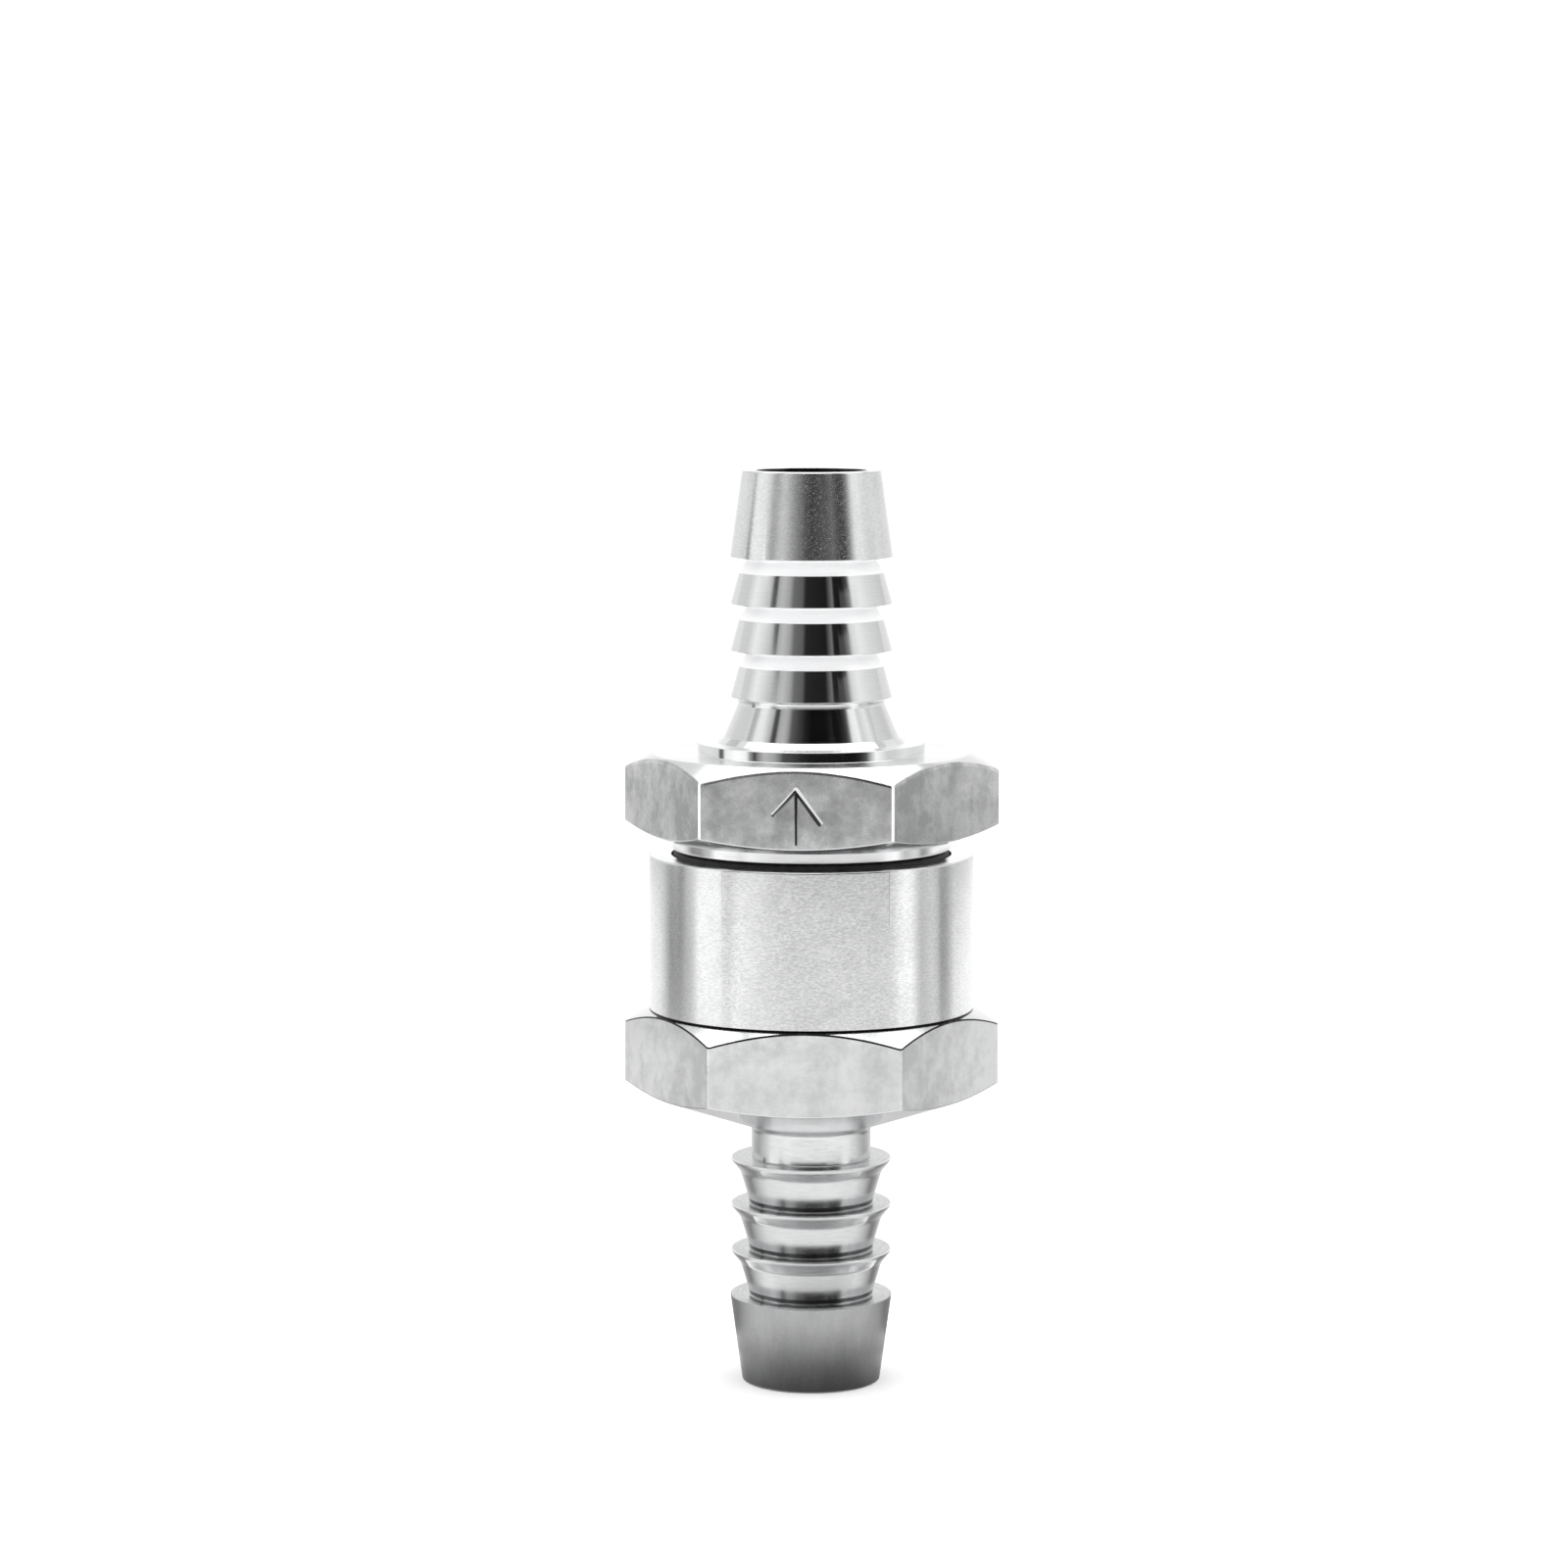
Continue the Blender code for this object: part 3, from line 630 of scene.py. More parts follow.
def inlet_inside(angle):
    """From the inlet's mouth up through seat, chamber, clip groove and thread."""
    floor_z = SEAT_LOW_Z + SEAT_TOP_RADIUS - BORE_RADIUS
    groove_low, groove_high = CLIP_LOW_Z - 0.1, CLIP_HIGH_Z + 0.1
    # The bore's walls carry painted shade.
    bore = SHADED_BORE.name
    inner = [
        (MOUTH_RADIUS, 0.0, EDGE, SHADED.name),
        (MOUTH_RADIUS, MOUTH_DEPTH, 0.1, bore),
        (BORE_RADIUS, MOUTH_DEPTH + MOUTH_RADIUS - BORE_RADIUS, 0.1, bore),
        (BORE_RADIUS, SEAT_LOW_Z, 0.1, FACED.name),
        (SEAT_TOP_RADIUS, floor_z, EDGE, bore),
        (CHAMBER_RADIUS, floor_z, 0.3, bore),
        (CHAMBER_RADIUS, GUIDE_SHELF_Z, EDGE, bore),
        (POCKET_RADIUS, GUIDE_SHELF_Z, EDGE, bore),
        (POCKET_RADIUS, groove_low, EDGE, bore),
        (CLIP_GROOVE_RADIUS, groove_low, EDGE, bore),
        (CLIP_GROOVE_RADIUS, groove_high, EDGE, bore),
        (POCKET_RADIUS, groove_high, EDGE, bore),
        (POCKET_RADIUS, THREAD_LOW_Z - 0.3, EDGE, bore),
    ]
    inner += thread_rows(THREAD_LOW_Z, SEAL_POCKET_Z, angle, THREAD_CLEARANCE, bore, True)
    inner += [
        (SEAL_POCKET_RADIUS, SEAL_POCKET_Z, EDGE, bore),
        (SEAL_POCKET_RADIUS, BODY_TOP_Z, EDGE, FACED.name),
    ]
    return inner


def make_body():
    body = lathe(
        "body_shell", lambda angle: inlet_outside(angle) + inlet_inside(angle), SHELL_MATERIALS)
    weigh_normals(body)
    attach(body, "root")
    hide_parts("inlet_body")


# ---------------------------------------------------------------- outlet cap
def outlet_barbs():
    """The long tip, then cut-off cones with a V groove above each."""
    edge_z = TOTAL_LENGTH - OUTLET_TIP
    points = [
        (TIP_RADIUS, TOTAL_LENGTH, TIP_EDGE, TIP_SATIN.name),
        (BARB_RADIUS, edge_z, EDGE, FACED.name),
    ]
    for _ in range(BARB_COUNT - 1):
        groove_low_z = edge_z - OUTLET_GROOVE
        points += [
            (OUTLET_ROOT_RADIUS, edge_z - OUTLET_UNDERCUT, 0.12, GROOVED.name),
            (OUTLET_RING_TOP_RADIUS, groove_low_z, 0.1, POLISHED.name),
        ]
        edge_z -= OUTLET_PITCH
        points.append((BARB_RADIUS - 0.04, edge_z, EDGE, FACED.name))
    return points + [
        (CONE_TOP_RADIUS, edge_z - 0.1, 0.08, FACED.name),
        (CONE_TOP_RADIUS, edge_z - 0.5, 0.08, POLISHED.name),
        (CONE_RADIUS, CONE_LOW_Z, 0.1, FACED.name),
        (CONE_RADIUS + CONE_FLARE, STEP_TOP_Z, 0.1, FACED.name),
    ]


def cap_outside(angle):
    """From the outlet end face down to the foot of the screwed spigot."""
    skin = hexagon_radius(angle)
    top_slope = (CAP_FACE_Z - CAP_CORNER_HIGH_Z) / (CORNER_RADIUS - CAP_FACE_RADIUS)
    low_slope = (CAP_CORNER_LOW_Z - CAP_UNDERSIDE_Z) / (CORNER_RADIUS - CAP_UNDERSIDE_RADIUS)
    high_z = CAP_CORNER_HIGH_Z + (CORNER_RADIUS - skin) * top_slope
    low_z = CAP_CORNER_LOW_Z - (CORNER_RADIUS - skin) * low_slope
    outer = outlet_barbs() + [
        (STEP_RADIUS, STEP_TOP_Z, EDGE, POLISHED.name),
        (STEP_RADIUS, CAP_FACE_Z, 0.04, FACED.name),
        (CAP_FACE_RADIUS, CAP_FACE_Z, 0.1, FACED.name),
        (skin, high_z, FLAT_EDGE, GROOVED.name if on_corner(angle) else CAP_FLAT.name),
        (skin, low_z, 2 * EDGE, FACED.name),
        (CAP_UNDERSIDE_RADIUS, CAP_UNDERSIDE_Z, EDGE, FACED.name),
        (COLLAR_RADIUS, CAP_UNDERSIDE_Z, 0.1, FACED.name),
        (COLLAR_RADIUS, COLLAR_LOW_Z, EDGE, FACED.name),
        (RELIEF_RADIUS, COLLAR_LOW_Z, 0.1, SHADED_BORE.name),
        (RELIEF_RADIUS, SEAL_POCKET_Z - 0.1, 0.1, SHADED_BORE.name),
    ]
    return outer + thread_rows(
        SPIGOT_LOW_Z + 0.1, SEAL_POCKET_Z - 0.2, angle, 0.0, FACED.name, False)


def cap_inside():
    """From the spigot's mouth up to the outlet end face."""
    mouth_foot_z = TOTAL_LENGTH - MOUTH_DEPTH
    return [
        (RELIEF_RADIUS - 0.2, SPIGOT_LOW_Z, EDGE, SHADED_BORE.name),
        (SPIGOT_MOUTH_RADIUS, SPIGOT_LOW_Z, EDGE, SHADED_BORE.name),
        (BORE_RADIUS, SPIGOT_LOW_Z + SPIGOT_MOUTH_RADIUS - BORE_RADIUS, 0.5, SHADED_BORE.name),
        (BORE_RADIUS, mouth_foot_z - (MOUTH_RADIUS - BORE_RADIUS), 0.1, SHADED_BORE.name),
        (MOUTH_RADIUS, mouth_foot_z, 0.1, SHADED.name),
        (MOUTH_RADIUS, TOTAL_LENGTH, 0.02, FACED.name),
    ]


def arrow_cutter(start, end, width):
    """A shallow round-nosed groove between two (across, height) points on the -Y flat."""
    nose = width * ARROW_NOSE
    sink = math.sqrt(nose ** 2 - (width / 2) ** 2)
    shape = bmesh.new()
    ends = [Vector((x, -APOTHEM - sink, z)) * MM for x, z in (start, end)]
    run = ends[1] - ends[0]
    bmesh.ops.create_uvsphere(shape, u_segments=24, v_segments=16, radius=nose * MM)
    for vertex in shape.verts:
        if vertex.co.z > 0:
            vertex.co.z += run.length
    turn = Vector((0, 0, 1)).rotation_difference(run)
    for vertex in shape.verts:
        vertex.co = turn @ vertex.co + ends[0]
    return finished_mesh("arrow_groove", shape, [])


def make_cap():
    cap = lathe("cap_shell", lambda angle: cap_outside(angle) + cap_inside(), SHELL_MATERIALS)
    for end, width in ARROW_STROKES:
        cut(cap, arrow_cutter(ARROW_TIP, end, width))
    cap.rotation_euler.z = CAP_ANGLE
    weigh_normals(cap)
    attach(cap, "cap")
    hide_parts("outlet_cap")


# ---------------------------------------------------------------- seal ring between the shells
def make_seal_ring():
    """Rubber ring squeezed between collar and pocket, so its section is a flattened round."""
    low_z, high_z = SEAL_POCKET_Z + SNUG, COLLAR_LOW_Z - SNUG
    half_height = (high_z - low_z) / 2

    def squeezed(value):
        return math.copysign(abs(value) ** RING_SQUARENESS, value)

    def section(_):
        points = []
        for step in range(RING_POINTS):
            turn = math.pi / 2 - 2 * math.pi * step / RING_POINTS
            points.append((
                RING_MIDDLE_RADIUS + RING_HALF_WIDTH * squeezed(math.cos(turn)),
                low_z + half_height + half_height * squeezed(math.sin(turn)),
                0, RUBBER.name))
        return points

    ring = lathe("seal_ring", section, [RUBBER], angles=even_angles(160))
    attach(ring, "cap_seal")
    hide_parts("cap_seal_ring")


# ---------------------------------------------------------------- poppet group
def make_poppet():
    """Stem, head and the hollow boss under the head."""
    brass = BRASS.name

    def section(_):
        return [
            (STEM_RADIUS - STEM_TIP, POPPET_HIGH_Z, 0, brass),
            (STEM_RADIUS, POPPET_HIGH_Z - STEM_TIP, 0.05, brass),
            (STEM_RADIUS, HEAD_HIGH_Z, 0.25, brass),
            (HEAD_RADIUS, HEAD_HIGH_Z, 0.12, brass),
            (HEAD_RADIUS, HEAD_LOW_Z, 0.08, brass),
            (BOSS_RADIUS, HEAD_LOW_Z, 0.05, brass),
            (BOSS_RADIUS, POPPET_LOW_Z, 0.05, brass),
            (SCREW_HOLE_RADIUS, POPPET_LOW_Z, 0.05, brass),
            (SCREW_HOLE_RADIUS, SCREW_HOLE_TOP_Z, 0, brass),
        ]

    poppet = lathe("poppet_turned", section, [BRASS], closed=False, angles=even_angles(120))
    weigh_normals(poppet)
    ride_with_poppet(poppet, "poppet")


def ride_with_poppet(piece, node):
    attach(piece, "poppet_group")
    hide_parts(node)


def make_poppet_seal():
    """Rubber ring: its conical face lies on the seat when the valve is shut."""
    low_radius = BORE_RADIUS + SEAL_LOW_Z - SEAT_LOW_Z - SNUG
    hole_radius = BOSS_RADIUS + 0.05
    top_z = HEAD_LOW_Z - SNUG
    rubber = RUBBER.name

    def section(_):
        return [
            (hole_radius, top_z, 0.05, rubber),
            (HEAD_RADIUS, top_z, 0.12, rubber),
            (HEAD_RADIUS, SEAL_LOW_Z + HEAD_RADIUS - low_radius, 0.12, rubber),
            (low_radius, SEAL_LOW_Z, 0.15, rubber),
            (hole_radius, SEAL_LOW_Z, 0.05, rubber),
        ]

    seal = lathe("poppet_seal_ring", section, [RUBBER], angles=even_angles(120))
    ride_with_poppet(seal, "poppet_seal")


def make_washer():
    steel = STEEL.name
    low_z, high_z = WASHER_LOW_Z + WASHER_THINNER, SEAL_LOW_Z - SNUG

    def section(_):
        return [
            (WASHER_RADIUS, high_z, 0.1, steel), (WASHER_RADIUS, low_z, 0.1, steel),
            (WASHER_HOLE_RADIUS, low_z, 0.04, steel), (WASHER_HOLE_RADIUS, high_z, 0.04, steel)]

    washer = lathe("clamp_washer", section, [STEEL], angles=even_angles(96))
    weigh_normals(washer)
    ride_with_poppet(washer, "seal_washer")


def make_screw():
    """Pan-head screw; the slot is cut last."""
    steel = STEEL.name
    head_high = WASHER_LOW_Z + WASHER_THINNER - SNUG
    head_low = head_high - SCREW_HEAD_HEIGHT

    def section(angle):
        rows = [(0.55, SCREW_HIGH_Z, 0, steel), (0.8, SCREW_HIGH_Z - 0.2, 0, steel)]
        top_z = SCREW_HIGH_Z - 0.25
        for index in range(SCREW_ROWS + 1):
            z = top_z - (top_z - head_high - 0.05) * index / SCREW_ROWS
            turn = (z / SCREW_PITCH - angle / (2 * math.pi)) % 1.0
            rows.append((SCREW_RADIUS + SCREW_THREAD_DEPTH * abs(2 * turn - 1), z, 0, steel))
        return rows + [
            (0.85, head_high, 0.04, steel),
            (SCREW_HEAD_RADIUS, head_high, 0.08, steel),
            (SCREW_HEAD_RADIUS, head_high - 0.4, 0.3, steel),
            (1.1, head_low, 0, steel),
        ]

    screw = lathe("clamp_screw", section, [STEEL], closed=False, angles=even_angles(48))
    shape = bmesh.new()
    bmesh.ops.create_cube(shape, size=1.0)
    bmesh.ops.scale(shape, vec=Vector(SCREW_SLOT) * MM, verts=shape.verts)
    bmesh.ops.translate(shape, vec=(0, 0, head_low * MM), verts=shape.verts)
    cut(screw, finished_mesh("slot_blade", shape, []))
    weigh_normals(screw)
    ride_with_poppet(screw, "seal_screw")


# ---------------------------------------------------------------- guide, clip and spring
def make_guide():
    """Drilled disc with a hub; each hole gets a small countersink."""
    low_z, high_z = GUIDE_SHELF_Z + SNUG, GUIDE_PLATE_Z
    wide = GUIDE_HOLE_RADIUS + COUNTERSINK
    brass = BRASS.name

    def section(_):
        return [
            (HUB_RADIUS, GUIDE_HIGH_Z, 0.15, brass), (HUB_RADIUS, high_z, 0.25, brass),
            (GUIDE_RADIUS, high_z, 0.12, brass), (GUIDE_RADIUS, low_z, 0.12, brass),
            (STEM_HOLE_RADIUS, low_z, 0.1, brass), (STEM_HOLE_RADIUS, GUIDE_HIGH_Z, 0.1, brass)]

    def drill(_):
        return [
            (wide, high_z + 1, 0, brass), (wide, high_z + 0.1, 0, brass),
            (GUIDE_HOLE_RADIUS, high_z - 0.15, 0, brass),
            (GUIDE_HOLE_RADIUS, low_z + 0.15, 0, brass),
            (wide, low_z - 0.1, 0, brass), (wide, low_z - 1, 0, brass)]

    guide = lathe("drilled_guide", section, [BRASS], angles=even_angles(144))
    for turn in even_angles(GUIDE_HOLES):
        bit = lathe("drill_bit", drill, [BRASS], closed=False, angles=even_angles(40))
        bit.location = on_circle(GUIDE_HOLE_CIRCLE, turn)
        cut(guide, bit)
    weigh_normals(guide)
    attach(guide, "root")
    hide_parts("stem_guide")


def make_clip():
    """Stamped spring ring: open at the back, with two eyes for the fitting pliers."""
    low_z, high_z = CLIP_LOW_Z - CLIP_THICKER, CLIP_HIGH_Z + CLIP_THICKER

    def turn_at(share):
        return math.pi / 2 + CLIP_GAP + (math.tau - 2 * CLIP_GAP) * share

    shares = [step / CLIP_STEPS for step in range(CLIP_STEPS + 1)]
    outline = [on_circle(CLIP_RADIUS, turn_at(share), low_z) for share in shares]
    for share in reversed(shares):
        radius = CLIP_INNER_RADIUS - CLIP_BULGE * math.sin(math.pi * share)
        if min(share, 1 - share) < EYE_SHARE:
            radius -= EYE_DEPTH
        outline.append(on_circle(radius, turn_at(share), low_z))
    shape = bmesh.new()
    face = shape.faces.new([shape.verts.new(place) for place in outline])
    grown = bmesh.ops.extrude_face_region(shape, geom=[face])
    bmesh.ops.translate(
        shape, vec=(0, 0, (high_z - low_z) * MM),
        verts=[v for v in grown["geom"] if isinstance(v, bmesh.types.BMVert)])
    clip = finished_mesh("spring_clip", shape, [STEEL])

    def eye(_):
        return [
            (EYE_HOLE_RADIUS, high_z + 1, 0, STEEL.name),
            (EYE_HOLE_RADIUS, low_z - 1, 0, STEEL.name)]

    for side in (-1, 1):
        bit = lathe("eye_bit", eye, [STEEL], closed=False, angles=even_angles(24))
        bit.location = on_circle(EYE_CIRCLE, math.pi / 2 + side * (CLIP_GAP + EYE_ANGLE))
        cut(clip, bit)
    bevel = clip.modifiers.new("stamped_edges", "BEVEL")
    bevel.width = 0.06 * MM
    bevel.segments = 2
    bevel.limit_method = "ANGLE"
    bevel.angle_limit = math.radians(40)
    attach(clip, "root")
    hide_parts("guide_clip")


def spring_rise(turn, span):
    """Height of the wire's centre line after so many turns; both ends are wound closed."""
    closed_rise = 2 * WIRE_RADIUS * CLOSED_TURNS
    if turn < CLOSED_TURNS:
        return closed_rise * turn / CLOSED_TURNS
    if turn > SPRING_TURNS - CLOSED_TURNS:
        return span - closed_rise * (SPRING_TURNS - turn) / CLOSED_TURNS
    share = (turn - CLOSED_TURNS) / (SPRING_TURNS - 2 * CLOSED_TURNS)
    return closed_rise + (span - 2 * closed_rise) * share


def make_spring():
    """Helix of round wire, its end turns closed and ground flat."""
    low_z, high_z = HEAD_HIGH_Z + SNUG, GUIDE_SHELF_Z
    sunk = WIRE_RADIUS * WIRE_LEFT
    shape = bmesh.new()
    rings = []
    for step in range(int(SPRING_TURNS * SPRING_STEPS) + 1):
        turn = step / SPRING_STEPS
        middle_z = low_z + sunk + spring_rise(turn, high_z - low_z - 2 * sunk)
        ring = []
        for tilt in even_angles(WIRE_SIDES):
            radius = SPRING_RADIUS + WIRE_RADIUS * math.cos(tilt)
            z = min(max(middle_z + WIRE_RADIUS * math.sin(tilt), low_z), high_z)
            ring.append(shape.verts.new(on_circle(radius, math.tau * turn, z)))
        rings.append(ring)
    for first, second in zip(rings, rings[1:]):
        for side in range(WIRE_SIDES):
            other = (side + 1) % WIRE_SIDES
            face = shape.faces.new((first[side], first[other], second[other], second[side]))
            face.smooth = True
    shape.faces.new(rings[0][::-1])
    shape.faces.new(rings[-1])
    spring = finished_mesh("coil_spring", shape, [STEEL])
    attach(spring, "root")
    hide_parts("return_spring")
    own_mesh(spring)


# ---------------------------------------------------------------- studio
def seen_only_in_reflections(thing):
    thing.visible_camera = False
    thing.visible_diffuse = False
    thing.visible_shadow = False
    thing.visible_transmission = False
    thing.visible_volume_scatter = False


def brightness_ramp(nodes, share, stops):
    """Brightness looked up along a line: stops are (place on the line from 0 to 1, brightness)."""
    ramp = nodes.tree.nodes.new("ShaderNodeValToRGB")
    nodes.feed(ramp.inputs["Fac"], share)
    elements = ramp.color_ramp.elements
    while len(elements) < len(stops):
        elements.new(1.0)
    for element, (position, level) in zip(elements, stops):
        element.position = position
        element.color = (level, level, level, 1.0)
    return ramp.outputs["Color"]


def tent_card(name, corners, profile, fade=None, reach=180.0):
    """Studio card: the (radius, height) corners in metres, swept round Z.

    profile gives (azimuth in degrees, brightness); azimuth 0 faces the camera and grows towards
    +X.  fade gives (radius in metres, brightness) and multiplies it.  reach is how far the card
    goes to each side of the camera, in degrees.
    """
    nodes = Nodes(name)
    nodes.tree.nodes.remove(nodes.shader)
    place = nodes.add("ShaderNodeTexCoord").outputs["Object"]
    split = nodes.add("ShaderNodeSeparateXYZ", Vector=place).outputs
    azimuth = nodes.math("ARCTAN2", split[0], nodes.math("MULTIPLY", split[1], -1.0))
    share = nodes.math("FRACT", nodes.math(
        "ADD", nodes.math("DIVIDE", azimuth, math.tau), 1.5 - CAMERA_AZIMUTH / 360))
    colour = brightness_ramp(nodes, share, [(a / 360 + 0.5, level) for a, level in profile])
    strength = 1.0
    if fade:
        widest = fade[-1][0]
        radius = nodes.from_axis(split)
        strength = brightness_ramp(
            nodes, nodes.math("DIVIDE", radius, widest), [(r / widest, level) for r, level in fade])
    glow = nodes.add("ShaderNodeEmission", Color=colour, Strength=strength)
    target = nodes.tree.nodes["Material Output"]
    nodes.tree.links.new(glow.outputs[0], target.inputs["Surface"])

    shape = bmesh.new()
    rows = []
    for step in range(CARD_STEPS + 1):
        angle = math.radians(reach * (2 * step / CARD_STEPS - 1))
        rows.append([
            shape.verts.new((r * math.sin(angle), -r * math.cos(angle), z)) for r, z in corners])
    for first, second in zip(rows, rows[1:]):
        for step in range(len(corners) - 1):
            shape.faces.new((first[step], first[step + 1], second[step + 1], second[step]))
    card = finished_mesh(name, shape, [nodes.material])
    seen_only_in_reflections(card)


def wall_card(name, low_z, high_z, profile, reach=180.0):
    tent_card(name, ((WALL_RADIUS, low_z), (WALL_RADIUS, high_z)), profile, reach=reach)


def floor_card(name, inner, outer, profile, fade=None):
    tent_card(name, ((inner, -CARD_DROP), (outer, -CARD_DROP)), profile, fade)


def make_wall_cards():
    """Upright cards; each height on the wall is what one band of the object mirrors."""
    step_profile = [
        (-180, 1.05), (-149, 0.78), (-124, 0.78), (-107, 0.70), (-104, 0.12), (-100, 0.12),
        (-96, 0.9), (-80, 1.08), (-68, 0.95), (-63, 0.30), (-58, 0.05), (-53, 0.30), (-47, 0.50),
        (-37, 0.38), (-28, 0.08), (-18, 0.05), (-9, 0.02), (0, 0.01), (42, 0.005), (50, 0.02),
        (57, 0.09), (62, 0.5), (68, 1.0), (76, 0.8), (82, 0.64), (92, 0.67), (107, 0.8),
        (124, 0.72), (149, 0.78), (180, 1.05)]
    tip_profile = [
        (-180, 1.0), (-150, 0.78), (-129, 0.66), (-109, 0.64), (-93, 0.88), (-78, 0.74),
        (-66, 0.58), (-60, 0.48), (-54, 0.48), (-42, 0.62), (-31, 0.42), (-21, 0.25), (-10, 0.10),
        (0, 0.05), (10, 0.07), (21, 0.10), (31, 0.15), (42, 0.06), (50, 0.08), (57, 0.22),
        (66, 0.70), (78, 0.86), (93, 0.74), (109, 0.68), (129, 0.60), (150, 0.72), (180, 1.0)]
    wall_profile = [
        (-180, 1.0), (-157, 0.70), (-141, 0.50), (-130, 0.60), (-105, 0.66), (-99, 0.42),
        (-94, 0.52), (-88, 0.86), (-79, 0.86), (-70, 0.62), (-64, 0.46), (-60, 0.08), (-55, 0.06),
        (-51, 0.42), (-44, 0.50), (-34, 0.37), (-27, 0.15), (-14, 0.11), (-9, 0.02), (22, 0.01),
        (26, 0.08), (31, 0.17), (34, 0.01), (48, 0.01), (57, 0.06), (60, 0.20), (64, 0.80),
        (74, 0.95), (80, 0.66), (92, 0.84), (103, 0.56), (180, 1.0)]
    cone_profile = [
        (-180, 1.0), (-162, 0.66), (-128, 0.80), (-107, 0.70), (-95, 0.95), (-88, 1.0),
        (-78, 0.75), (-68, 0.34), (-62, 0.08), (-57, 0.08), (-52, 0.32), (-43, 0.44), (-38, 0.34),
        (-32, 0.10), (-21, 0.05), (-10, 0.015), (0, 0.004), (42, 0.006), (53, 0.03), (60, 0.12),
        (66, 0.45), (72, 0.88), (80, 0.95), (92, 0.66), (107, 0.70), (128, 0.6), (162, 0.6),
        (180, 1.0)]
    skirt_profile = [
        (-180, 1.0), (-145, 0.50), (-120, 0.28), (-90, 0.6), (-30, 0.88), (30, 0.88), (90, 0.5),
        (104, 0.12), (125, 0.20), (150, 0.7), (180, 1.0)]
    wall_card("tent_step", 0.0142, 0.10, step_profile)
    wall_card("tent_tip", 0.10, 0.175, tip_profile)
    wall_card("tent_wall", 0.175, 0.27, wall_profile)
    wall_card("tent_cone", 0.27, 0.34, cone_profile)
    wall_card("tent_top", 0.34, 0.55, cone_profile, reach=78.0)
    wall_card("tent_skirt", 0.0, 0.0142, skirt_profile)


def make_floor_cards():
    """Rings on the floor, which the body, the lower flats and the lower barbs mirror."""
    floor_profile = [
        (-180, 1.05), (-150, 1.0), (-133, 0.92), (-124, 0.62), (-116, 0.18), (-105, 0.18),
        (-99, 0.34), (-93, 0.42), (-89, 0.75), (-85, 1.25), (-65, 1.22), (-60, 1.0), (-55, 1.15),
        (-51, 1.3), (-42, 1.15), (-33, 1.02), (-16, 0.96), (0, 0.93), (44, 0.92), (57, 1.0),
        (65, 1.3), (74, 1.35), (79, 0.72), (83, 0.44), (93, 0.72), (98, 0.64), (103, 0.20),
        (109, 0.34), (120, 0.98), (135, 1.05), (180, 1.05)]
    middle_profile = [
        (-180, 1.0), (-128, 0.84), (-110, 0.70), (-70, 0.68), (-30, 0.70), (30, 0.68), (70, 0.64),
        (110, 0.72), (128, 0.90), (180, 1.0)]
    near_profile = [
        (-180, 0.66), (-154, 0.60), (-140, 0.35), (-122, 0.22), (-104, 0.50), (-80, 0.82),
        (-45, 0.92), (0, 0.92), (45, 0.90), (80, 0.80), (104, 0.50), (122, 0.20), (140, 0.35),
        (154, 0.60), (180, 0.66)]
    low_profile = [
        (-180, 1.0), (-128, 1.0), (-104, 0.95), (-70, 0.84), (-45, 0.76), (-20, 0.68), (20, 0.62),
        (45, 0.62), (70, 0.66), (104, 0.80), (128, 1.0), (180, 1.0)]
    # These fades are painted shadow: they darken the floor cards near the foot, where the object
    # shades the floor.
    low_painted_shadow = [(FOOT_RADIUS, 0.44), (LOW_RADIUS, 1.12)]
    foot_profile = [
        (-180, 2.2), (-128, 2.2), (-108, 1.55), (-90, 1.3), (-70, 0.98), (-45, 0.72), (-20, 0.50),
        (20, 0.42), (45, 0.46), (63, 0.76), (76, 0.98), (90, 1.06), (108, 1.56), (128, 1.9),
        (180, 2.2)]
    foot_painted_shadow = [(0.0, 0.24), (0.0066, 0.37), (FOOT_RADIUS, 0.52)]
    near_painted_shadow = [
        (LOW_RADIUS, 0.88), (0.0187, 0.86), (0.023, 0.92), (0.035, 1.0), (NEAR_RADIUS, 1.0)]
    floor_card("tent_floor", MIDDLE_RADIUS, WALL_RADIUS, floor_profile)
    floor_card("tent_middle", NEAR_RADIUS, MIDDLE_RADIUS, middle_profile)
    floor_card("tent_near", LOW_RADIUS, NEAR_RADIUS, near_profile, near_painted_shadow)
    floor_card("tent_under", FOOT_RADIUS, LOW_RADIUS, low_profile, low_painted_shadow)
    floor_card("tent_foot", 0.0, FOOT_RADIUS, foot_profile, foot_painted_shadow)


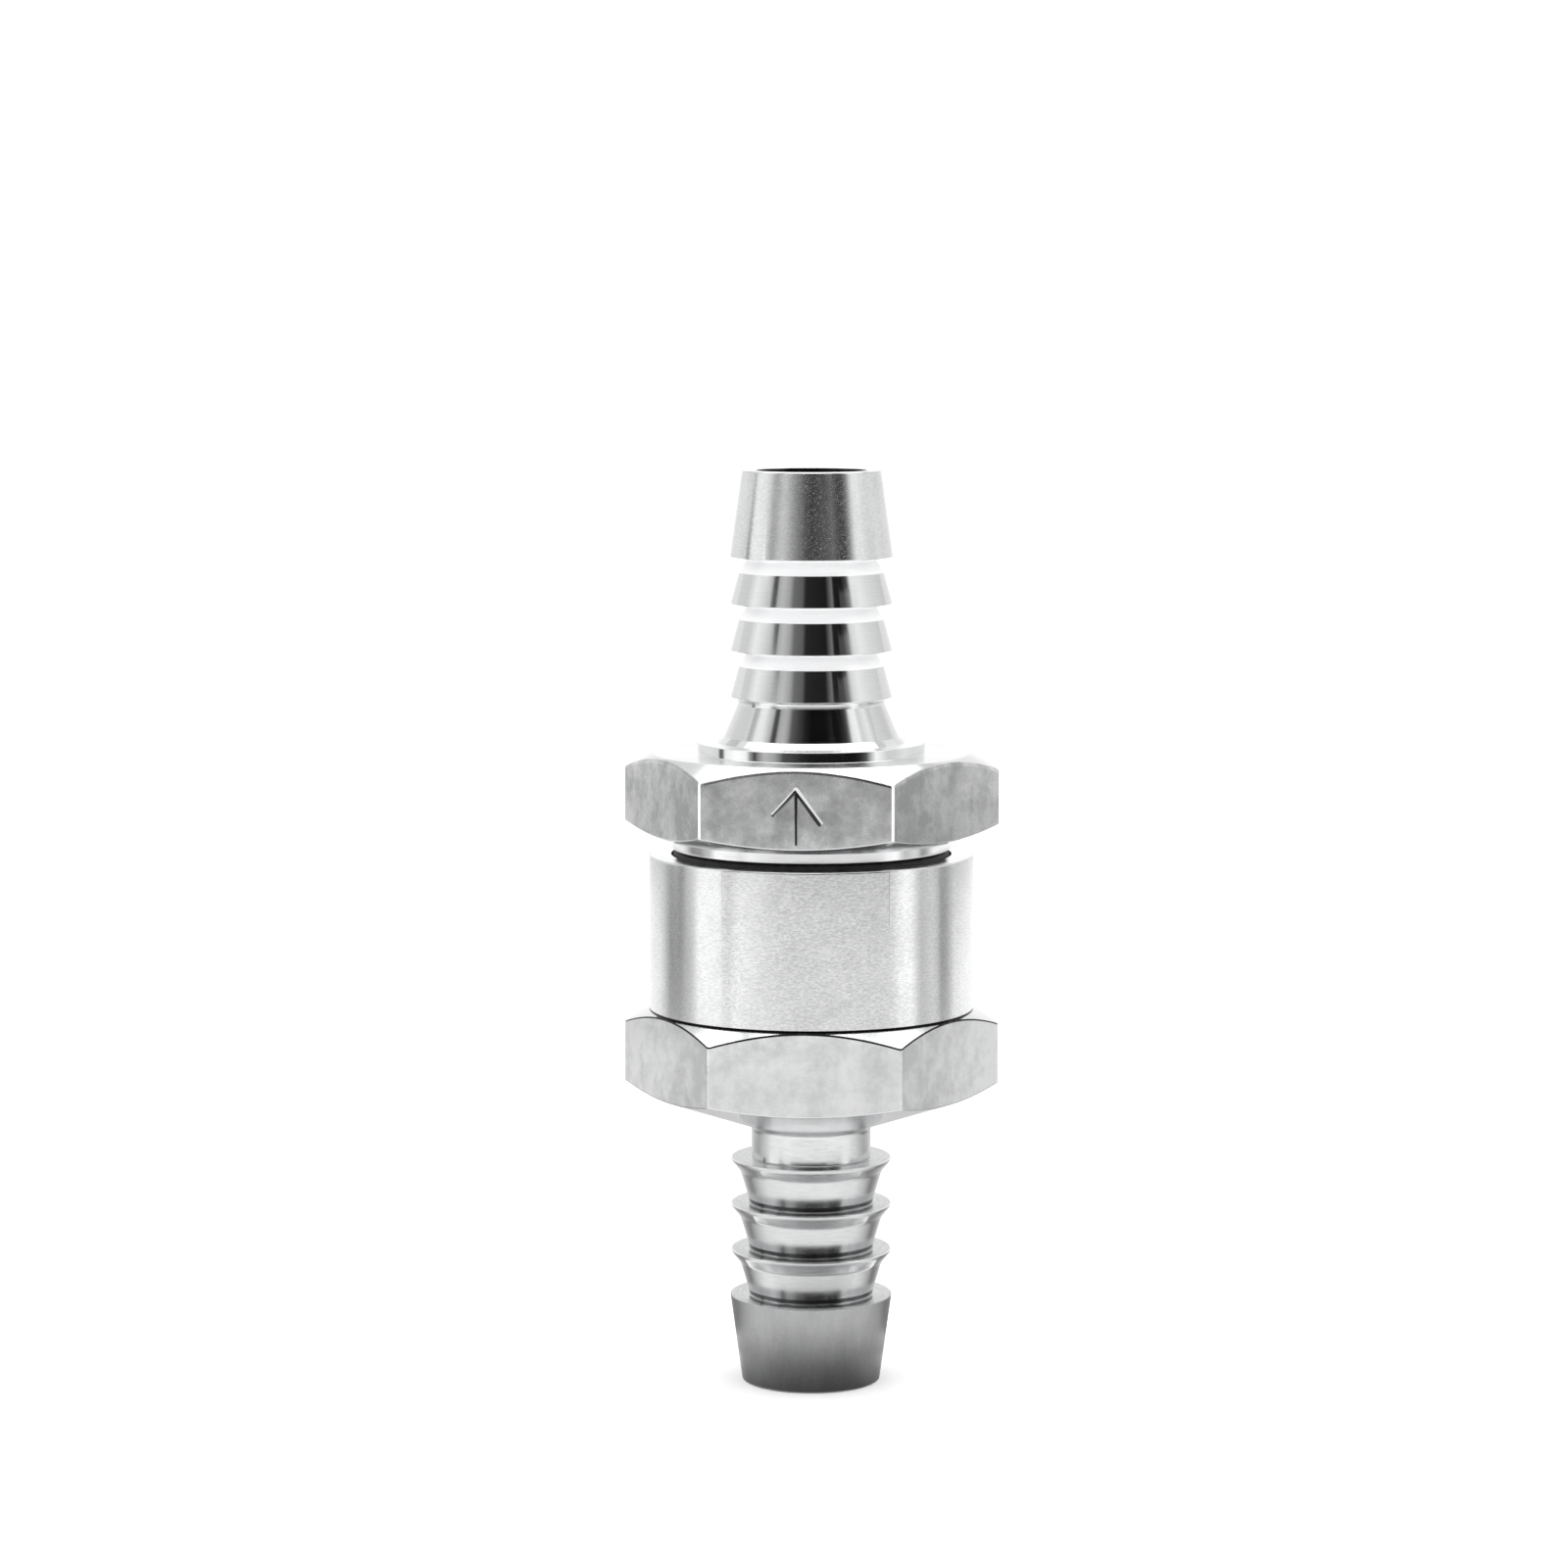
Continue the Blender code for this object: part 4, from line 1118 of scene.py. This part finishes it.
def make_floor():
    """Matt white paper."""
    nodes = Nodes("pale_floor")
    paper = nodes.noise(nodes.millimetres(), scale=0.05, detail=2.0)
    nodes.feed(nodes.shader.inputs["Base Color"], nodes.tint(
        paper, (0.93, 0.93, 0.93), (0.95, 0.95, 0.95)))
    nodes.shader.inputs["Roughness"].default_value = 0.9
    nodes.shader.inputs["Specular IOR Level"].default_value = 0.0
    shape = bmesh.new()
    bmesh.ops.create_grid(shape, x_segments=8, y_segments=8, size=6.0)
    floor = finished_mesh("floor", shape, [nodes.material])
    floor.location.z = -FLOOR_DROP


def make_light():
    """Even white surroundings and a soft box overhead."""
    world = bpy.data.worlds.new("studio")
    bpy.context.scene.world = world
    world.use_nodes = True
    background = world.node_tree.nodes["Background"]
    background.inputs["Color"].default_value = (1.0, 1.0, 1.0, 1.0)
    background.inputs["Strength"].default_value = 1.5

    light = bpy.data.lights.new("top_softbox", "AREA")
    light.shape = "RECTANGLE"
    light.size = 0.9
    light.size_y = 0.9
    light.energy = 1.0
    lamp = bpy.data.objects.new("top_softbox", light)
    lamp.location = (0.0, -0.05, 0.75)
    towards = Vector((0, 0, 0.03)) - lamp.location
    lamp.rotation_euler = towards.to_track_quat("-Z", "Y").to_euler()
    bpy.context.scene.collection.objects.link(lamp)

    bpy.context.scene.view_settings.view_transform = "Standard"


def make_camera():
    """Long lens a third of a metre away, a little above, looking down six degrees."""
    distance, eye_height, azimuth = 0.331, 0.0801, math.radians(CAMERA_AZIMUTH)
    pitch, yaw_left = math.radians(6.16), math.radians(0.347)
    camera = bpy.data.cameras.new("camera")
    camera.lens = 104.07
    camera.sensor_width = 36.0
    camera.clip_start = 0.01
    view = bpy.data.objects.new("camera", camera)
    view.location = (distance * math.sin(azimuth), -distance * math.cos(azimuth), eye_height)
    view.rotation_euler = (math.pi / 2 - pitch, 0.0, azimuth + yaw_left)
    bpy.context.scene.collection.objects.link(view)
    bpy.context.scene.camera = view


make_camera()
make_body()
make_cap()
make_seal_ring()
make_poppet()
make_poppet_seal()
make_washer()
make_screw()
make_guide()
make_clip()
make_spring()
make_wall_cards()
make_floor_cards()
make_floor()
make_light()
